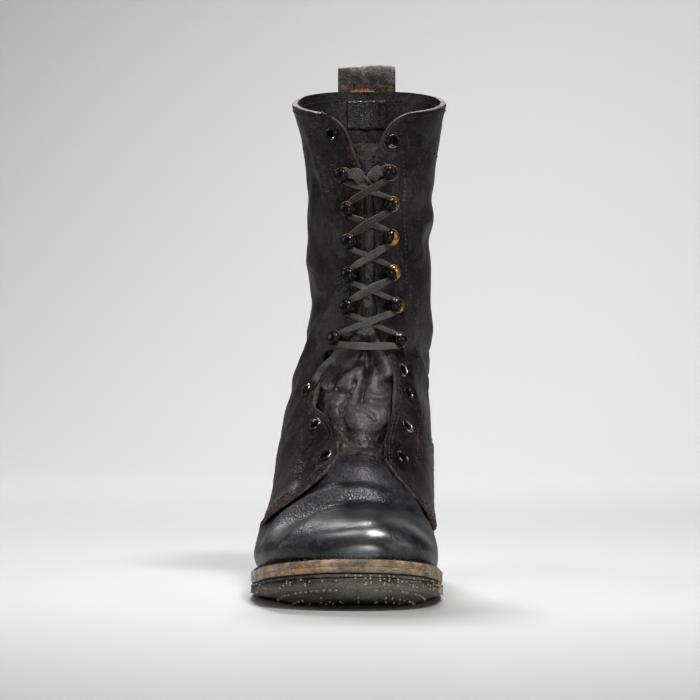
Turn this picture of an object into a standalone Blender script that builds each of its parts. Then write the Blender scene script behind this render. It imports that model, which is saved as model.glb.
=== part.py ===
"""Worn black leather combat boot, right foot, as an assembly of separate pieces.

Metres. +Z is up, the toe points to -Y and the inner side of the foot faces +X.
The origin is on the floor under the middle of the heel.
"""

import math

import bmesh
import bpy
import numpy as np
from mathutils import Matrix, Vector

# Driving dimensions of the last and the shaft. The shaft's sections are drawn against a width of which
# SHAFT_WIDTH is SHAFT_SHARE.
SOLE_LENGTH = 0.300
BALL_WIDTH = 0.1085
SHAFT_WIDTH = 0.074
SHAFT_SHARE = 0.682
INSTEP_HEIGHT = 0.135
LEG_HEIGHT = 0.165

# Leather
UPPER_WALL = 0.0022
QUARTER_STEP = 0.0014
COUNTER_STEP = 0.0026
TONGUE_WALL = 0.0018
STRAP_WALL = 0.0020

# The facings' rounded corners at the collar
COLLAR_CORNER = 0.0145

# Sole stack
OUTSOLE_WALL = 0.0070
MIDSOLE_WALL = 0.0035
WELT_WALL = 0.0035
WELT_WIDTH = 0.0115
INSOLE_WALL = 0.0030
TOE_SPRING = 0.0135
HEEL_HEIGHT = 0.0210
HEEL_CAP_WALL = 0.0070
FEATHER_MARGIN = 0.0040
EDGE_WEAR = 0.0022
SPRING_CURVE = 1.6

# How far each layer's edge stands inside the outsole's
MIDSOLE_MARGIN = 0.0006
WELT_MARGIN = 0.0002
HEEL_MARGIN = 0.0004
HEEL_TAPER = 0.0015

# Clearances
GAP = 0.0003
TONGUE_GAP = 0.0009
INSOLE_GAP = 0.0008
HOLE_GAP = 0.0003
RIM_GAP = 0.0006

# Where the sole bends and where the heel starts, as shares of the sole's length from the toe
TREAD_FRONT = 0.36
TREAD_BACK = 0.45
ARCH_TOP = 0.80
HEEL_BREAST = 0.755
HEEL_CENTRE = 0.88

# Fasteners
HOOK_DOME_RADIUS = 0.0049
HOOK_DOME_HEIGHT = 0.0038
HOOK_BASE_RADIUS = 0.0034
HOOK_BASE_WALL = 0.0008
HOOK_NECK_RADIUS = 0.0016
EYELET_RIM_RADIUS = 0.0046
EYELET_RIM_WALL = 0.0008
EYELET_BARREL_RADIUS = 0.0032
EYELET_BORE_RADIUS = 0.0024
FASTENER_INSET = 0.0080
LACE_RADIUS = 0.0013
LACE_END_DROP = 0.024
LACE_SPRING = 0.0008

# Pull loop
LOOP_WIDTH = 0.036
LOOP_RISE = 0.0165
LOOP_OPENING = 0.0026
LOOP_COLUMNS = (-0.5, -0.25, 0.0, 0.25, 0.5)
LOOP_OUTER_LEG = (0.8, 0.4, 0.0)
LOOP_INNER_LEG = (0.0, 0.3, 0.55)

# The lace: angles round a hook's neck, in degrees, and shares of its way over the throat
LACE_ARRIVES = -70
LACE_LEAVES = 80
LACE_ROUND_HOOK = (LACE_ARRIVES, -20, 30, LACE_LEAVES)
LACE_ROUND_TOP_HOOK = (LACE_ARRIVES, -20, 20, 50)
LACE_OVER_THROAT = (0.22, 0.5, 0.78)
LACE_END_TURN = (82, 125, 165)
LACE_END_SHARES = (0.15, 0.35, 0.55, 0.75, 1.0)

# How finely the curved pieces are cut
THROAT_COLUMNS = 3
ARCH_STEPS = 6
EYELET_SIDES = 10
HOOK_SIDES = 8
SIDES = (-1, 1)

# The sole's plan: half widths as shares of the ball width, about a centre line that swings inward at the toe
SOLE_COLUMNS = ("along", "outer", "inner", "swing")
SOLE_PLAN = (
    (0.00, 0.405, 0.340, 0.040),
    (0.04, 0.442, 0.373, 0.038),
    (0.10, 0.484, 0.396, 0.034),
    (0.18, 0.525, 0.415, 0.028),
    (0.27, 0.562, 0.429, 0.022),
    (0.35, 0.572, 0.424, 0.018),
    (0.43, 0.548, 0.392, 0.014),
    (0.52, 0.484, 0.336, 0.010),
    (0.62, 0.410, 0.290, 0.006),
    (0.72, 0.359, 0.281, 0.003),
    (0.82, 0.341, 0.309, 0.000),
    (0.90, 0.341, 0.327, 0.000),
    (1.00, 0.332, 0.327, 0.000),
)
TOE_ROUND = (0.16, 2.4)
HEEL_ROUND = (0.13, 2.6)

# Sections of the last and shaft, from the toe tip to the collar. Each is a loop from a point on the front
# line to a point on the feather line of the sole, or from "heel" on to a point on the back line.
#   front, front_up   place of the front point: share of sole length, height (0-1 to the instep, 1-2 to the collar)
#   base, base_up     the same for the other end. The feather line sets the height up to "heel".
#   outer, inner      half widths as shares of the ball width up to "heel", and of the shaft's own width after it
#   centre            sideways place of the front point, as a share of the ball width
#   gap_out, gap_in   half the throat's opening, as shares of the shaft width
#   peak              how sharp the front of the section is, 1 for an ellipse
SECTION_COLUMNS = (
    "front", "front_up", "base", "base_up", "outer", "inner", "centre", "gap_out", "gap_in", "peak",
)
SECTIONS = {
    "tip":      (0.0133, 0.2105, 0.000, 0.000, 0.000, 0.000, 0.040, 0.100, 0.100, 0.90),
    "toe_wall": (0.0200, 0.2650, 0.020, 0.000, 0.225, 0.190, 0.038, 0.110, 0.110, 0.90),
    "toe_brow": (0.0400, 0.3130, 0.055, 0.000, 0.380, 0.315, 0.036, 0.130, 0.130, 0.88),
    "toe_top":  (0.0800, 0.3460, 0.105, 0.000, 0.462, 0.372, 0.032, 0.150, 0.150, 0.88),
    "toe_back": (0.1330, 0.3610, 0.165, 0.000, 0.505, 0.390, 0.028, 0.170, 0.170, 0.92),
    "crease":   (0.1900, 0.3720, 0.230, 0.000, 0.535, 0.400, 0.024, 0.175, 0.185, 1.00),
    "ball":     (0.2470, 0.4300, 0.300, 0.000, 0.550, 0.402, 0.022, 0.175, 0.185, 1.12),
    "vamp":     (0.3030, 0.5190, 0.365, 0.000, 0.548, 0.398, 0.020, 0.175, 0.185, 1.22),
    "throat":   (0.3570, 0.6040, 0.440, 0.000, 0.526, 0.390, 0.020, 0.175, 0.185, 1.28),
    "waist":    (0.4070, 0.6890, 0.520, 0.000, 0.502, 0.384, 0.020, 0.184, 0.182, 1.30),
    "instep_1": (0.4530, 0.7780, 0.600, 0.000, 0.486, 0.380, 0.020, 0.255, 0.215, 1.30),
    "instep_2": (0.4960, 0.8740, 0.690, 0.000, 0.472, 0.376, 0.022, 0.385, 0.240, 1.28),
    "instep_3": (0.5300, 0.9850, 0.785, 0.000, 0.463, 0.370, 0.026, 0.325, 0.222, 1.24),
    "bend":     (0.5530, 1.0850, 0.890, 0.000, 0.460, 0.358, 0.034, 0.105, 0.115, 1.20),
    "heel":     (0.5670, 1.1820, 1.000, 0.266, 0.432, 0.340, 0.046, 0.052, 0.052, 1.14),
    "ankle":    (0.5750, 1.2790, 0.984, 0.475, 0.352, 0.304, 0.047, 0.040, 0.040, 1.10),
    "leg_1":    (0.5790, 1.3820, 0.966, 0.730, 0.320, 0.343, 0.047, 0.040, 0.040, 1.06),
    "leg_2":    (0.5800, 1.4850, 0.951, 1.000, 0.310, 0.344, 0.045, 0.040, 0.040, 1.05),
    "leg_3":    (0.5790, 1.5880, 0.947, 1.240, 0.332, 0.340, 0.042, 0.041, 0.041, 1.05),
    "leg_4":    (0.5760, 1.6850, 0.951, 1.490, 0.328, 0.364, 0.032, 0.052, 0.052, 1.05),
    "top_band": (0.5690, 1.7820, 0.957, 1.765, 0.346, 0.396, 0.029, 0.128, 0.118, 1.05),
    "collar":   (0.5600, 1.8730, 0.964, 2.020, 0.412, 0.440, 0.030, 0.170, 0.170, 1.05),
}
NAMES = list(SECTIONS)
ROW = {name: index for index, name in enumerate(NAMES)}
LAST_ROW = len(NAMES) - 1
BACK_ROUND = 0.90

# Limits that keep a section's shape sound: how much wider than the feather line it is at least, how far round
# its side the throat may reach, and how near to its widest place a front or back point may lie
LEAST_BULGE = 1.03
THROAT_LIMIT = 0.8
SIDE_LIMIT = 0.95
HEEL_SEAM_ROW = ROW["heel"] + 0.03

# Cut lines of the upper's grid, in rows, and down each side from the throat (0) to the sole or back seam (1)
STEP_RUN = 0.06
QUARTER_SWEEP_OUTER = 1.5
QUARTER_SWEEP_INNER = 0.95
SWEPT_ROWS = 4
SWEEP_CURVE = 0.75
CORNER_ROWS = 1.0
QUARTER_FRONT = ROW["throat"]
COUNTER_FRONT = ROW["instep_3"] + 0.15
COUNTER_TOP = ROW["leg_1"] - 0.15
SEAM_DOWN = 0.66
STAY_DOWN = 0.855
STEP_DOWN = 0.012
FREE_ROWS = (
    0.0, 0.15, 0.5, 1.0, 1.6, 2.3, 3.0, 4.0, 4.8, 5.4, 6.2, 7.0, 9.0, 10.0, 10.7, 11.4, 12.0,
    12.6, 13.1, 13.5, 13.75, 13.93, 15.0, 17.0, 18.0, 19.0, 20.0, 20.5, 20.8, 21.0,
)
UPPER_DOWN = (
    0.0, 0.085, 0.18, 0.29, 0.41, 0.54, SEAM_DOWN, SEAM_DOWN + STEP_DOWN, 0.77,
    STAY_DOWN - STEP_DOWN, STAY_DOWN, 0.93, 1.0,
)
TONGUE_FRONT = ROW["ball"] + 0.6
TONGUE_TOP = ROW["top_band"]
TONGUE_DOWN = UPPER_DOWN[:3]
ROW_CLEARANCE = 0.1
STATION_CLEARANCE = 0.002

# Fasteners up each side of the throat: their rows, and how far they sit behind its edge as a share of FASTENER_INSET
FASTENER_COLUMNS = ("outer_row", "inner_row", "outer_behind", "inner_behind")
EYELETS = (
    (8.20, 8.56, 0.93, 1.28),
    (10.05, 10.22, 1.05, 1.20),
    (12.00, 11.70, 1.35, 1.08),
    (12.70, 12.50, 1.30, 1.20),
    (20.28, 20.00, 1.15, 0.90),
)
HOOKS = (
    (13.07, 13.30, 1.20, 1.20),
    (14.12, 14.38, 0.95, 1.28),
    (15.31, 15.50, 0.90, 1.12),
    (16.48, 16.63, 0.90, 1.05),
    (17.59, 17.77, 0.96, 1.10),
    (18.81, 18.89, 1.15, 1.05),
)


def column(table, columns, name):
    place = columns.index(name)
    return [row[place] for row in table]


def smooth(knots, values, at):
    """A smooth curve through (knots, values), read at one place."""
    knots, values = np.asarray(knots, float), np.asarray(values, float)
    slopes = np.gradient(values, knots)
    at = min(max(at, knots[0]), knots[-1])
    i = int(np.clip(np.searchsorted(knots, at) - 1, 0, len(knots) - 2))
    width = knots[i + 1] - knots[i]
    s = (at - knots[i]) / width
    return (
        (2 * s**3 - 3 * s**2 + 1) * values[i]
        + (s**3 - 2 * s**2 + s) * width * slopes[i]
        + (3 * s**2 - 2 * s**3) * values[i + 1]
        + (s**3 - s**2) * width * slopes[i + 1]
    )


def ease(s):
    s = min(max(s, 0.0), 1.0)
    return s * s * (3 - 2 * s)


def back_to_y(back):
    """World Y of a place that lies this far behind the sole's toe tip."""
    return back - HEEL_CENTRE * SOLE_LENGTH


# The sole's own shape


def sole_value(name, along):
    return smooth(
        column(SOLE_PLAN, SOLE_COLUMNS, "along"), column(SOLE_PLAN, SOLE_COLUMNS, name), along
    )


def end_round(distance, reach, power):
    if distance >= reach:
        return 1.0
    return max(0.0, 1 - (1 - distance / reach) ** power) ** (1 / power)


def sole_half_width(along, side, margin):
    share = sole_value("outer" if side < 0 else "inner", along)
    rounding = end_round(along, *TOE_ROUND) * end_round(1 - along, *HEEL_ROUND)
    return share * rounding * (BALL_WIDTH - 2 * margin)


def sole_point(along, side, margin, height):
    """A point on the edge of the sole's plan, drawn in by margin."""
    x = sole_value("swing", along) * BALL_WIDTH + side * sole_half_width(along, side, margin)
    back = margin + along * (SOLE_LENGTH - 2 * margin)
    return Vector((x, back_to_y(back), height))


def sole_bottom(along):
    spring = max(0.0, 1 - along / TREAD_FRONT) ** SPRING_CURVE * TOE_SPRING
    return spring + HEEL_HEIGHT * ease((along - TREAD_BACK) / (ARCH_TOP - TREAD_BACK))


OUTSOLE_TOP = OUTSOLE_WALL
MIDSOLE_BOTTOM = OUTSOLE_TOP + GAP
MIDSOLE_TOP = MIDSOLE_BOTTOM + MIDSOLE_WALL
WELT_BOTTOM = MIDSOLE_TOP + GAP
WELT_TOP = WELT_BOTTOM + WELT_WALL
FEATHER = WELT_TOP + GAP


def height_of(up):
    """Height of a place given as 0-1 from the floor to the instep and 1-2 from there to the back of the collar."""
    return INSTEP_HEIGHT * min(up, 1.0) + LEG_HEIGHT * max(up - 1.0, 0.0)


# The upper's own shape


def section_value(name, row):
    place = SECTION_COLUMNS.index(name)
    return smooth(range(len(NAMES)), [SECTIONS[n][place] for n in NAMES], row)


def part_of_table(name, row, first, last):
    """A column read only between two named sections, so that what lies past them doesn't bend it."""
    names = NAMES[ROW[first] : ROW[last] + 1]
    place = SECTION_COLUMNS.index(name)
    return smooth(range(ROW[first], ROW[last] + 1), [SECTIONS[n][place] for n in names], row)


def front_point(row):
    return np.array([
        section_value("centre", row) * BALL_WIDTH,
        back_to_y(section_value("front", row) * SOLE_LENGTH),
        height_of(section_value("front_up", row)),
    ])


def back_point(row):
    up = part_of_table("base_up", row, "heel", "collar")
    near_sole = max(0.0, ROW["heel"] + 1 - row)
    back = part_of_table("base", row, "heel", "collar") * SOLE_LENGTH - FEATHER_MARGIN * near_sole
    lift = sole_bottom(1.0) + FEATHER - height_of(SECTIONS["heel"][3])
    return np.array([0.0, back_to_y(back), height_of(up) + lift * near_sole])


def turned_in(curve, row, sign, inset):
    """A point of a centre line, moved by inset at right angles to the line."""
    step = 0.02
    run = curve(min(row + step, LAST_ROW)) - curve(max(row - step, 0))
    across = np.array([0.0, sign * run[2], -sign * run[1]])
    return curve(row) + inset * across / np.linalg.norm(across)


def width_base(row):
    if row <= ROW["heel"]:
        return BALL_WIDTH
    return BALL_WIDTH + (SHAFT_WIDTH / SHAFT_SHARE - BALL_WIDTH) * ease(row - ROW["heel"])


def upper_section(row, side, inset):
    """The ends, half width and sole edge of one side of a section, as front, base, width, edge, peak."""
    front = turned_in(front_point, row, 1, inset)
    width = section_value("outer" if side < 0 else "inner", row) * width_base(row) - inset
    if row < ROW["heel"]:
        along = part_of_table("base", row, "tip", "heel")
        margin = FEATHER_MARGIN + inset
        edge = sole_half_width(along, side, margin)
        base = np.array([
            sole_value("swing", along) * BALL_WIDTH,
            back_to_y(margin + along * (SOLE_LENGTH - 2 * margin)),
            sole_bottom(along) + FEATHER,
        ])
    else:
        edge = 0.0
        base = turned_in(back_point, max(row, HEEL_SEAM_ROW), -1, inset)
        if row <= ROW["heel"]:
            base[2] = sole_bottom(1.0) + FEATHER
    return front, base, max(width, edge * LEAST_BULGE, 1e-5), edge, section_value("peak", row)


def sweep_end(width, edge):
    """How far round its section a side runs: half way where it ends at its widest, all the way at the back seam."""
    return math.pi - math.asin(min(0.999, (edge / width) ** (1 / BACK_ROUND)))


def throat_gap(row, side):
    """Half the throat's opening, with the facings' corners rounded off at the collar."""
    into_corner = max(0.0, 1 - (LAST_ROW - row) / CORNER_ROWS)
    corner = COLLAR_CORNER * (1 - math.sqrt(1 - into_corner**2))
    return section_value("gap_out" if side < 0 else "gap_in", row) * SHAFT_WIDTH + corner


def throat_angle(row, side, width, peak, extra=0.0):
    gap = throat_gap(row, side) + extra
    return math.asin(min(SIDE_LIMIT, (gap / width) ** (1 / peak))) if width > gap else math.pi / 3


def on_section(row, side, inset, angle_of):
    front, base, width, edge, peak = upper_section(row, side, inset)
    end = sweep_end(width, edge)
    angle = angle_of(width, peak, end)
    power = peak if angle < math.pi / 2 else BACK_ROUND
    down = (1 - math.cos(angle)) / (1 - math.cos(end))
    point = front + (base - front) * down
    point[0] += side * width * max(0.0, math.sin(angle)) ** power
    return Vector(point)


def swept(row, side, down):
    """The row moved forward near the quarters' front edge, which curves ahead between the throat and the sole."""
    near_edge = max(0.0, 1 - abs(row - QUARTER_FRONT) / SWEPT_ROWS) ** 2
    sweep = QUARTER_SWEEP_OUTER if side < 0 else QUARTER_SWEEP_INNER
    return row - sweep * near_edge * math.sin(math.pi * down**SWEEP_CURVE)


def upper_point(row, side, down, inset):
    """A point of the upper below the throat's edge line: down is 0 on that line and 1 at the sole or back seam."""
    row = swept(row, side, down)

    def angle_of(width, peak, end):
        start = min(throat_angle(row, side, width, peak), THROAT_LIMIT * end)
        return start + (end - start) * down

    return on_section(row, side, inset, angle_of)


def throat_point(row, side, across, inset):
    """A point between the centre line (across 0) and the throat's edge line (across 1)."""

    def angle_of(width, peak, end):
        return min(throat_angle(row, side, width, peak), THROAT_LIMIT * end) * across

    return on_section(row, side, inset, angle_of)


def facing_point(row, side, behind, inset):
    """A point on the facing, this far behind the throat's edge."""

    def angle_of(width, peak, end):
        return throat_angle(row, side, width, peak, behind)

    return on_section(row, side, inset, angle_of)


def front_at(x, z, inset):
    """The point at this x and z on the front of the boot, which is found by halving a span of rows."""

    def at(row):
        aside = x - section_value("centre", row) * BALL_WIDTH

        def angle_of(width, peak, end):
            return math.asin(min(SIDE_LIMIT, (abs(aside) / width) ** (1 / peak)))

        return on_section(row, -1 if aside < 0 else 1, inset, angle_of)

    low, high = QUARTER_FRONT, LAST_ROW
    for _ in range(20):
        middle = (low + high) / 2
        low, high = (middle, high) if at(middle).z < z else (low, middle)
    return at(low)


def throat_centre(z):
    """World X of the throat's centre line at this height."""
    middle = min(range(QUARTER_FRONT, LAST_ROW + 1), key=lambda row: abs(front_point(row)[2] - z))
    rows = [max(QUARTER_FRONT, middle - 1), middle, min(LAST_ROW, middle + 1)]
    heights = [front_point(row)[2] for row in rows]
    return float(np.interp(z, heights, [front_point(row)[0] for row in rows]))


def facing_frame(row, side, behind):
    """Axes at a fastener: X away from the throat, Y up the shaft, Z out of the leather, at its outer face."""
    step = 0.0004
    at = facing_point(row, side, behind, -QUARTER_STEP)
    away = facing_point(row, side, behind + step, -QUARTER_STEP) - at
    up = facing_point(row + 0.02, side, behind, -QUARTER_STEP) - at
    out = (away.cross(up) * side).normalized()
    out = -out if out.y > 0 else out
    up = (up - out * up.dot(out)).normalized()
    away = up.cross(out).normalized()
    if away.x * side < 0:
        away = -away
    frame = Matrix((away, up, out)).transposed().to_4x4()
    frame.translation = at
    return frame


# Building blocks


def material(name, colour, roughness, metallic=0.0):
    made = bpy.data.materials.new(name)
    made.use_nodes = True
    shader = made.node_tree.nodes["Principled BSDF"]
    shader.inputs["Base Color"].default_value = (*colour, 1.0)
    shader.inputs["Roughness"].default_value = roughness
    shader.inputs["Metallic"].default_value = metallic
    return made


def add_mesh(name, bm, finish, smooth_angle=math.radians(40)):
    bmesh.ops.remove_doubles(bm, verts=bm.verts, dist=1e-6)
    bmesh.ops.dissolve_degenerate(bm, edges=bm.edges, dist=1e-7)
    bmesh.ops.recalc_face_normals(bm, faces=bm.faces)
    mesh = bpy.data.meshes.new(name)
    bm.to_mesh(mesh)
    bm.free()
    mesh.materials.append(finish)
    mesh.shade_smooth()
    mesh.set_sharp_from_angle(angle=smooth_angle)
    made = bpy.data.objects.new(name, mesh)
    BOOT.objects.link(made)
    return made


def close_sheet(outer, inner, faces):
    """A solid from a sheet's outer and inner points, keyed alike, with a rim along every open edge."""
    bm = bmesh.new()
    tops = {key: bm.verts.new(point) for key, point in outer.items()}
    bottoms = {key: bm.verts.new(point) for key, point in inner.items()}
    uses = {}
    for face in faces:
        ring = [key for i, key in enumerate(face) if key != face[i - 1]]
        if len(set(ring)) < 3:
            continue
        bm.faces.new([tops[key] for key in ring])
        bm.faces.new([bottoms[key] for key in reversed(ring)])
        for a, b in zip(ring, ring[1:] + ring[:1]):
            uses[frozenset((a, b))] = (a, b) if frozenset((a, b)) not in uses else None
    for edge in uses.values():
        if edge:
            a, b = edge
            bm.faces.new([tops[b], tops[a], bottoms[a], bottoms[b]])
    return bm


def upper_grid(rows, down, inset_of, cut_throat):
    """Points and faces of one skin of the upper on both sides. Keys are shared where the sides meet."""
    points, faces = {}, []
    last = len(down) - 1

    def key(i, side, j):
        if rows[i] == 0.0:
            return (0, 0, 0)
        if j == -THROAT_COLUMNS or (rows[i] >= ROW["heel"] and j == last and down[-1] == 1.0):
            return (i, 0, j)
        return (i, side, j)

    for i, row in enumerate(rows):
        for side in SIDES:
            for j in range(-THROAT_COLUMNS, last + 1):
                if row == 0:
                    point = upper_point(row, side, 1.0, inset_of(row, 0.0))
                elif j < 0:
                    across = 1 + j / THROAT_COLUMNS
                    inset = inset_of(row, 0.0)
                    point = throat_point(row, side, across, inset)
                else:
                    point = upper_point(row, side, down[j], inset_of(row, down[j]))
                points.setdefault(key(i, side, j), point)
    used = set()
    for i in range(len(rows) - 1):
        for side in SIDES:
            for j in range(-THROAT_COLUMNS, last):
                if cut_throat and j < 0 and rows[i] >= QUARTER_FRONT:
                    continue
                corners = [key(i, side, j), key(i + 1, side, j), key(i + 1, side, j + 1), key(i, side, j + 1)]
                faces.append(corners if side < 0 else corners[::-1])
                used.update(corners)
    return {k: points[k] for k in used}, faces


def quarter_inset(row, down):
    """How far the outer face stands inside the last's own skin: less than nothing where pieces overlap."""
    if row < QUARTER_FRONT:
        return 0.0
    if row > COUNTER_TOP:
        return -COUNTER_STEP if down >= STAY_DOWN else -QUARTER_STEP
    if down <= SEAM_DOWN:
        return -QUARTER_STEP
    return -COUNTER_STEP if row > COUNTER_FRONT else 0.0


def layered_solid(name, stations, rails, finish, hollow=False):
    """A plate that follows the sole: rails are (margin, height function), listed from its top to its bottom.

    A hollow plate is a band: its rails run round its section, and its middle is left open.
    """
    bm = bmesh.new()
    rings = []
    for along in stations:
        edges = {
            side: [bm.verts.new(sole_point(along, side, margin, height(along))) for margin, height in rails]
            for side in SIDES
        }
        rings.append(edges)
    count = len(rails)
    spans = range(count) if hollow else range(count - 1)
    for a, b in zip(rings, rings[1:]):
        for side in SIDES:
            for r in spans:
                s = (r + 1) % count
                bm.faces.new([a[side][r], a[side][s], b[side][s], b[side][r]][:: -side])
        if not hollow:
            for r, turn in ((0, 1), (count - 1, -1)):
                bm.faces.new([a[-1][r], a[1][r], b[1][r], b[-1][r]][::turn])
    for ring in (rings[0], rings[-1]):
        across = (ring[-1][0].co - ring[1][0].co).length
        if not hollow and across > GAP:
            bm.faces.new(ring[-1] + ring[1][::-1])
    return add_mesh(name, bm, finish)


def turned(name, profile, finish, frame, steps):
    """A profile of (radius, height) points turned about its Z axis, and stood in a frame."""
    bm = bmesh.new()
    verts = [bm.verts.new((radius, 0.0, height)) for radius, height in profile]
    for a, b in zip(verts, verts[1:]):
        bm.edges.new((a, b))
    if profile[0][0] > 0:
        bm.edges.new((verts[-1], verts[0]))
    mesh = bpy.data.meshes.new(name)
    bm.to_mesh(mesh)
    bm.free()
    mesh.materials.append(finish)
    made = bpy.data.objects.new(name, mesh)
    BOOT.objects.link(made)
    made.matrix_world = frame
    screw = made.modifiers.new("turn", "SCREW")
    screw.steps = screw.render_steps = steps
    screw.use_merge_vertices = True
    screw.merge_threshold = 1e-5
    screw.use_smooth_shade = True
    return made


def tube(name, points, radius, finish, resolution):
    """A closed round tube along a list of points, as a mesh with its caps welded."""
    curve = bpy.data.curves.new(name, "CURVE")
    curve.dimensions = "3D"
    curve.bevel_depth = radius
    curve.bevel_resolution = resolution
    curve.use_fill_caps = True
    spline = curve.splines.new("POLY")
    spline.points.add(len(points) - 1)
    for place, point in zip(spline.points, points):
        place.co = (*point, 1.0)
    carrier = bpy.data.objects.new(name, curve)
    BOOT.objects.link(carrier)
    bpy.context.view_layer.update()
    solid = bpy.data.meshes.new_from_object(carrier.evaluated_get(bpy.context.evaluated_depsgraph_get()))
    place = carrier.matrix_world.copy()
    bpy.data.objects.remove(carrier)
    bm = bmesh.new()
    bm.from_mesh(solid)
    bpy.data.meshes.remove(solid)
    made = add_mesh(name, bm, finish)
    made.matrix_world = place
    return made


def boolean(target, cutter, operation):
    step = target.modifiers.new(operation.lower(), "BOOLEAN")
    step.operation = operation
    step.solver = "EXACT"
    step.object = cutter
    cutter.hide_render = True
    cutter.display_type = "WIRE"
    BOOT.objects.unlink(cutter)
    CUTTERS.objects.link(cutter)


# Pieces


def sole_share(row):
    """Where a section meets the feather line, as a share of the sole's length."""
    return part_of_table("base", row, "tip", "heel")


def row_at(along):
    low, high = 0.0, float(ROW["heel"])
    for _ in range(24):
        middle = (low + high) / 2
        low, high = (middle, high) if sole_share(middle) < along else (low, middle)
    return low


def upper_rows(first=0.0, last=LAST_ROW):
    """Rows of the upper's grid: at its steps, where the sole bends, and free ones between that crowd neither."""
    steps = [
        QUARTER_FRONT - STEP_RUN, QUARTER_FRONT, COUNTER_FRONT, COUNTER_FRONT + STEP_RUN,
        float(ROW["heel"]), COUNTER_TOP, COUNTER_TOP + STEP_RUN,
    ]
    steps += [row_at(along) for along in (TREAD_FRONT, TREAD_BACK, HEEL_BREAST)]
    free = [row for row in FREE_ROWS if all(abs(row - step) > ROW_CLEARANCE for step in steps)]
    return [row for row in sorted(free + steps) if first <= row <= last]


def sole_stations(first=0.0, last=1.0):
    """Places along the sole where the upper has its rows, so that the two outlines match, and where the sole bends."""
    spread = [sole_share(row) for row in upper_rows(last=ROW["heel"])]
    breaks = [TREAD_FRONT, TREAD_BACK, HEEL_BREAST, first, last]
    inside = [s for s in spread if first < s < last and all(abs(s - b) > STATION_CLEARANCE for b in breaks)]
    return sorted(set(inside + [b for b in breaks if first <= b <= last]))


def sole_height(above):
    return lambda along: sole_bottom(along) + above


def make_soles():
    rubber = material("sole_rubber", (0.035, 0.033, 0.030), 0.75)
    brown = material("welt_leather", (0.16, 0.085, 0.045), 0.6)
    liner = material("insole_leather", (0.20, 0.13, 0.08), 0.7)
    whole = sole_stations()
    layered_solid(
        "outsole", whole,
        [(0.0, sole_height(OUTSOLE_TOP)), (0.0, sole_height(EDGE_WEAR)), (EDGE_WEAR, sole_height(0.0))],
        rubber,
    )
    layered_solid(
        "midsole", whole,
        [(MIDSOLE_MARGIN, sole_height(MIDSOLE_TOP)), (MIDSOLE_MARGIN, sole_height(MIDSOLE_BOTTOM))],
        brown,
    )
    layered_solid(
        "welt", whole,
        [(WELT_MARGIN, sole_height(WELT_TOP)), (WELT_MARGIN, sole_height(WELT_BOTTOM)),
         (WELT_WIDTH, sole_height(WELT_BOTTOM)), (WELT_WIDTH, sole_height(WELT_TOP))],
        brown, hollow=True,
    )
    inside = FEATHER_MARGIN + UPPER_WALL + INSOLE_GAP
    layered_solid(
        "insole", whole,
        [(inside + INSOLE_WALL, sole_height(FEATHER + INSOLE_WALL)), (inside, sole_height(FEATHER + GAP)),
         (inside, sole_height(FEATHER)),
         (WELT_WIDTH + GAP, sole_height(FEATHER)), (WELT_WIDTH + GAP, sole_height(WELT_BOTTOM))],
        liner,
    )


def make_heel():
    rubber = material("heel_rubber", (0.030, 0.029, 0.028), 0.8)
    stack = material("heel_leather", (0.045, 0.036, 0.030), 0.6)
    back = sole_stations(first=HEEL_BREAST)
    layered_solid(
        "heel_lifts", back,
        [(HEEL_MARGIN, sole_height(-GAP)), (HEEL_TAPER, lambda along: HEEL_CAP_WALL + GAP)],
        stack,
    )
    layered_solid(
        "heel_cap", back,
        [(HEEL_TAPER, lambda along: HEEL_CAP_WALL), (HEEL_TAPER, lambda along: EDGE_WEAR),
         (HEEL_TAPER + EDGE_WEAR, lambda along: 0.0)],
        rubber,
    )


def make_upper():
    leather = material("black_leather", (0.022, 0.022, 0.024), 0.45)
    rows = upper_rows()
    outer, faces = upper_grid(rows, UPPER_DOWN, quarter_inset, True)
    inner, _ = upper_grid(rows, UPPER_DOWN, lambda row, down: UPPER_WALL, True)
    upper = add_mesh("upper", close_sheet(outer, inner, faces), leather)
    radius = EYELET_BARREL_RADIUS + HOLE_GAP
    for count in range(len(EYELETS)):
        for side in SIDES:
            hole = bmesh.new()
            bmesh.ops.create_cone(
                hole, cap_ends=True, segments=EYELET_SIDES, radius1=radius, radius2=radius, depth=8 * UPPER_WALL
            )
            cutter = add_mesh("eyelet_hole", hole, leather)
            cutter.matrix_world = fastener_frame(EYELETS, count, side)
            boolean(upper, cutter, "DIFFERENCE")


def make_tongue():
    leather = material("tongue_leather", (0.030, 0.029, 0.031), 0.4)
    skin = UPPER_WALL + TONGUE_GAP
    rows = upper_rows(TONGUE_FRONT, TONGUE_TOP)
    outer, faces = upper_grid(rows, TONGUE_DOWN, lambda row, down: skin, False)
    inner, _ = upper_grid(rows, TONGUE_DOWN, lambda row, down: skin + TONGUE_WALL, False)
    add_mesh("tongue", close_sheet(outer, inner, faces), leather)


def side_name(side):
    return "outer" if side < 0 else "inner"


def fastener_frame(places, count, side):
    row, behind = (places[count][FASTENER_COLUMNS.index(side_name(side) + end)] for end in ("_row", "_behind"))
    return facing_frame(row, side, behind * FASTENER_INSET)


def make_eyelets():
    brass = material("eyelet_metal", (0.12, 0.115, 0.10), 0.35, 0.9)
    through = QUARTER_STEP + UPPER_WALL
    profile = [
        (EYELET_BORE_RADIUS, RIM_GAP + EYELET_RIM_WALL),
        (EYELET_BORE_RADIUS, -through),
        (EYELET_BARREL_RADIUS, -through),
        (EYELET_BARREL_RADIUS, RIM_GAP),
        (EYELET_RIM_RADIUS, RIM_GAP),
        (EYELET_RIM_RADIUS - EYELET_RIM_WALL / 2, RIM_GAP + EYELET_RIM_WALL),
    ][::-1]
    for count in range(len(EYELETS)):
        for side in SIDES:
            frame = fastener_frame(EYELETS, count, side)
            turned(f"eyelet_{side_name(side)}_{count + 1}", profile, brass, frame, EYELET_SIDES)


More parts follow.
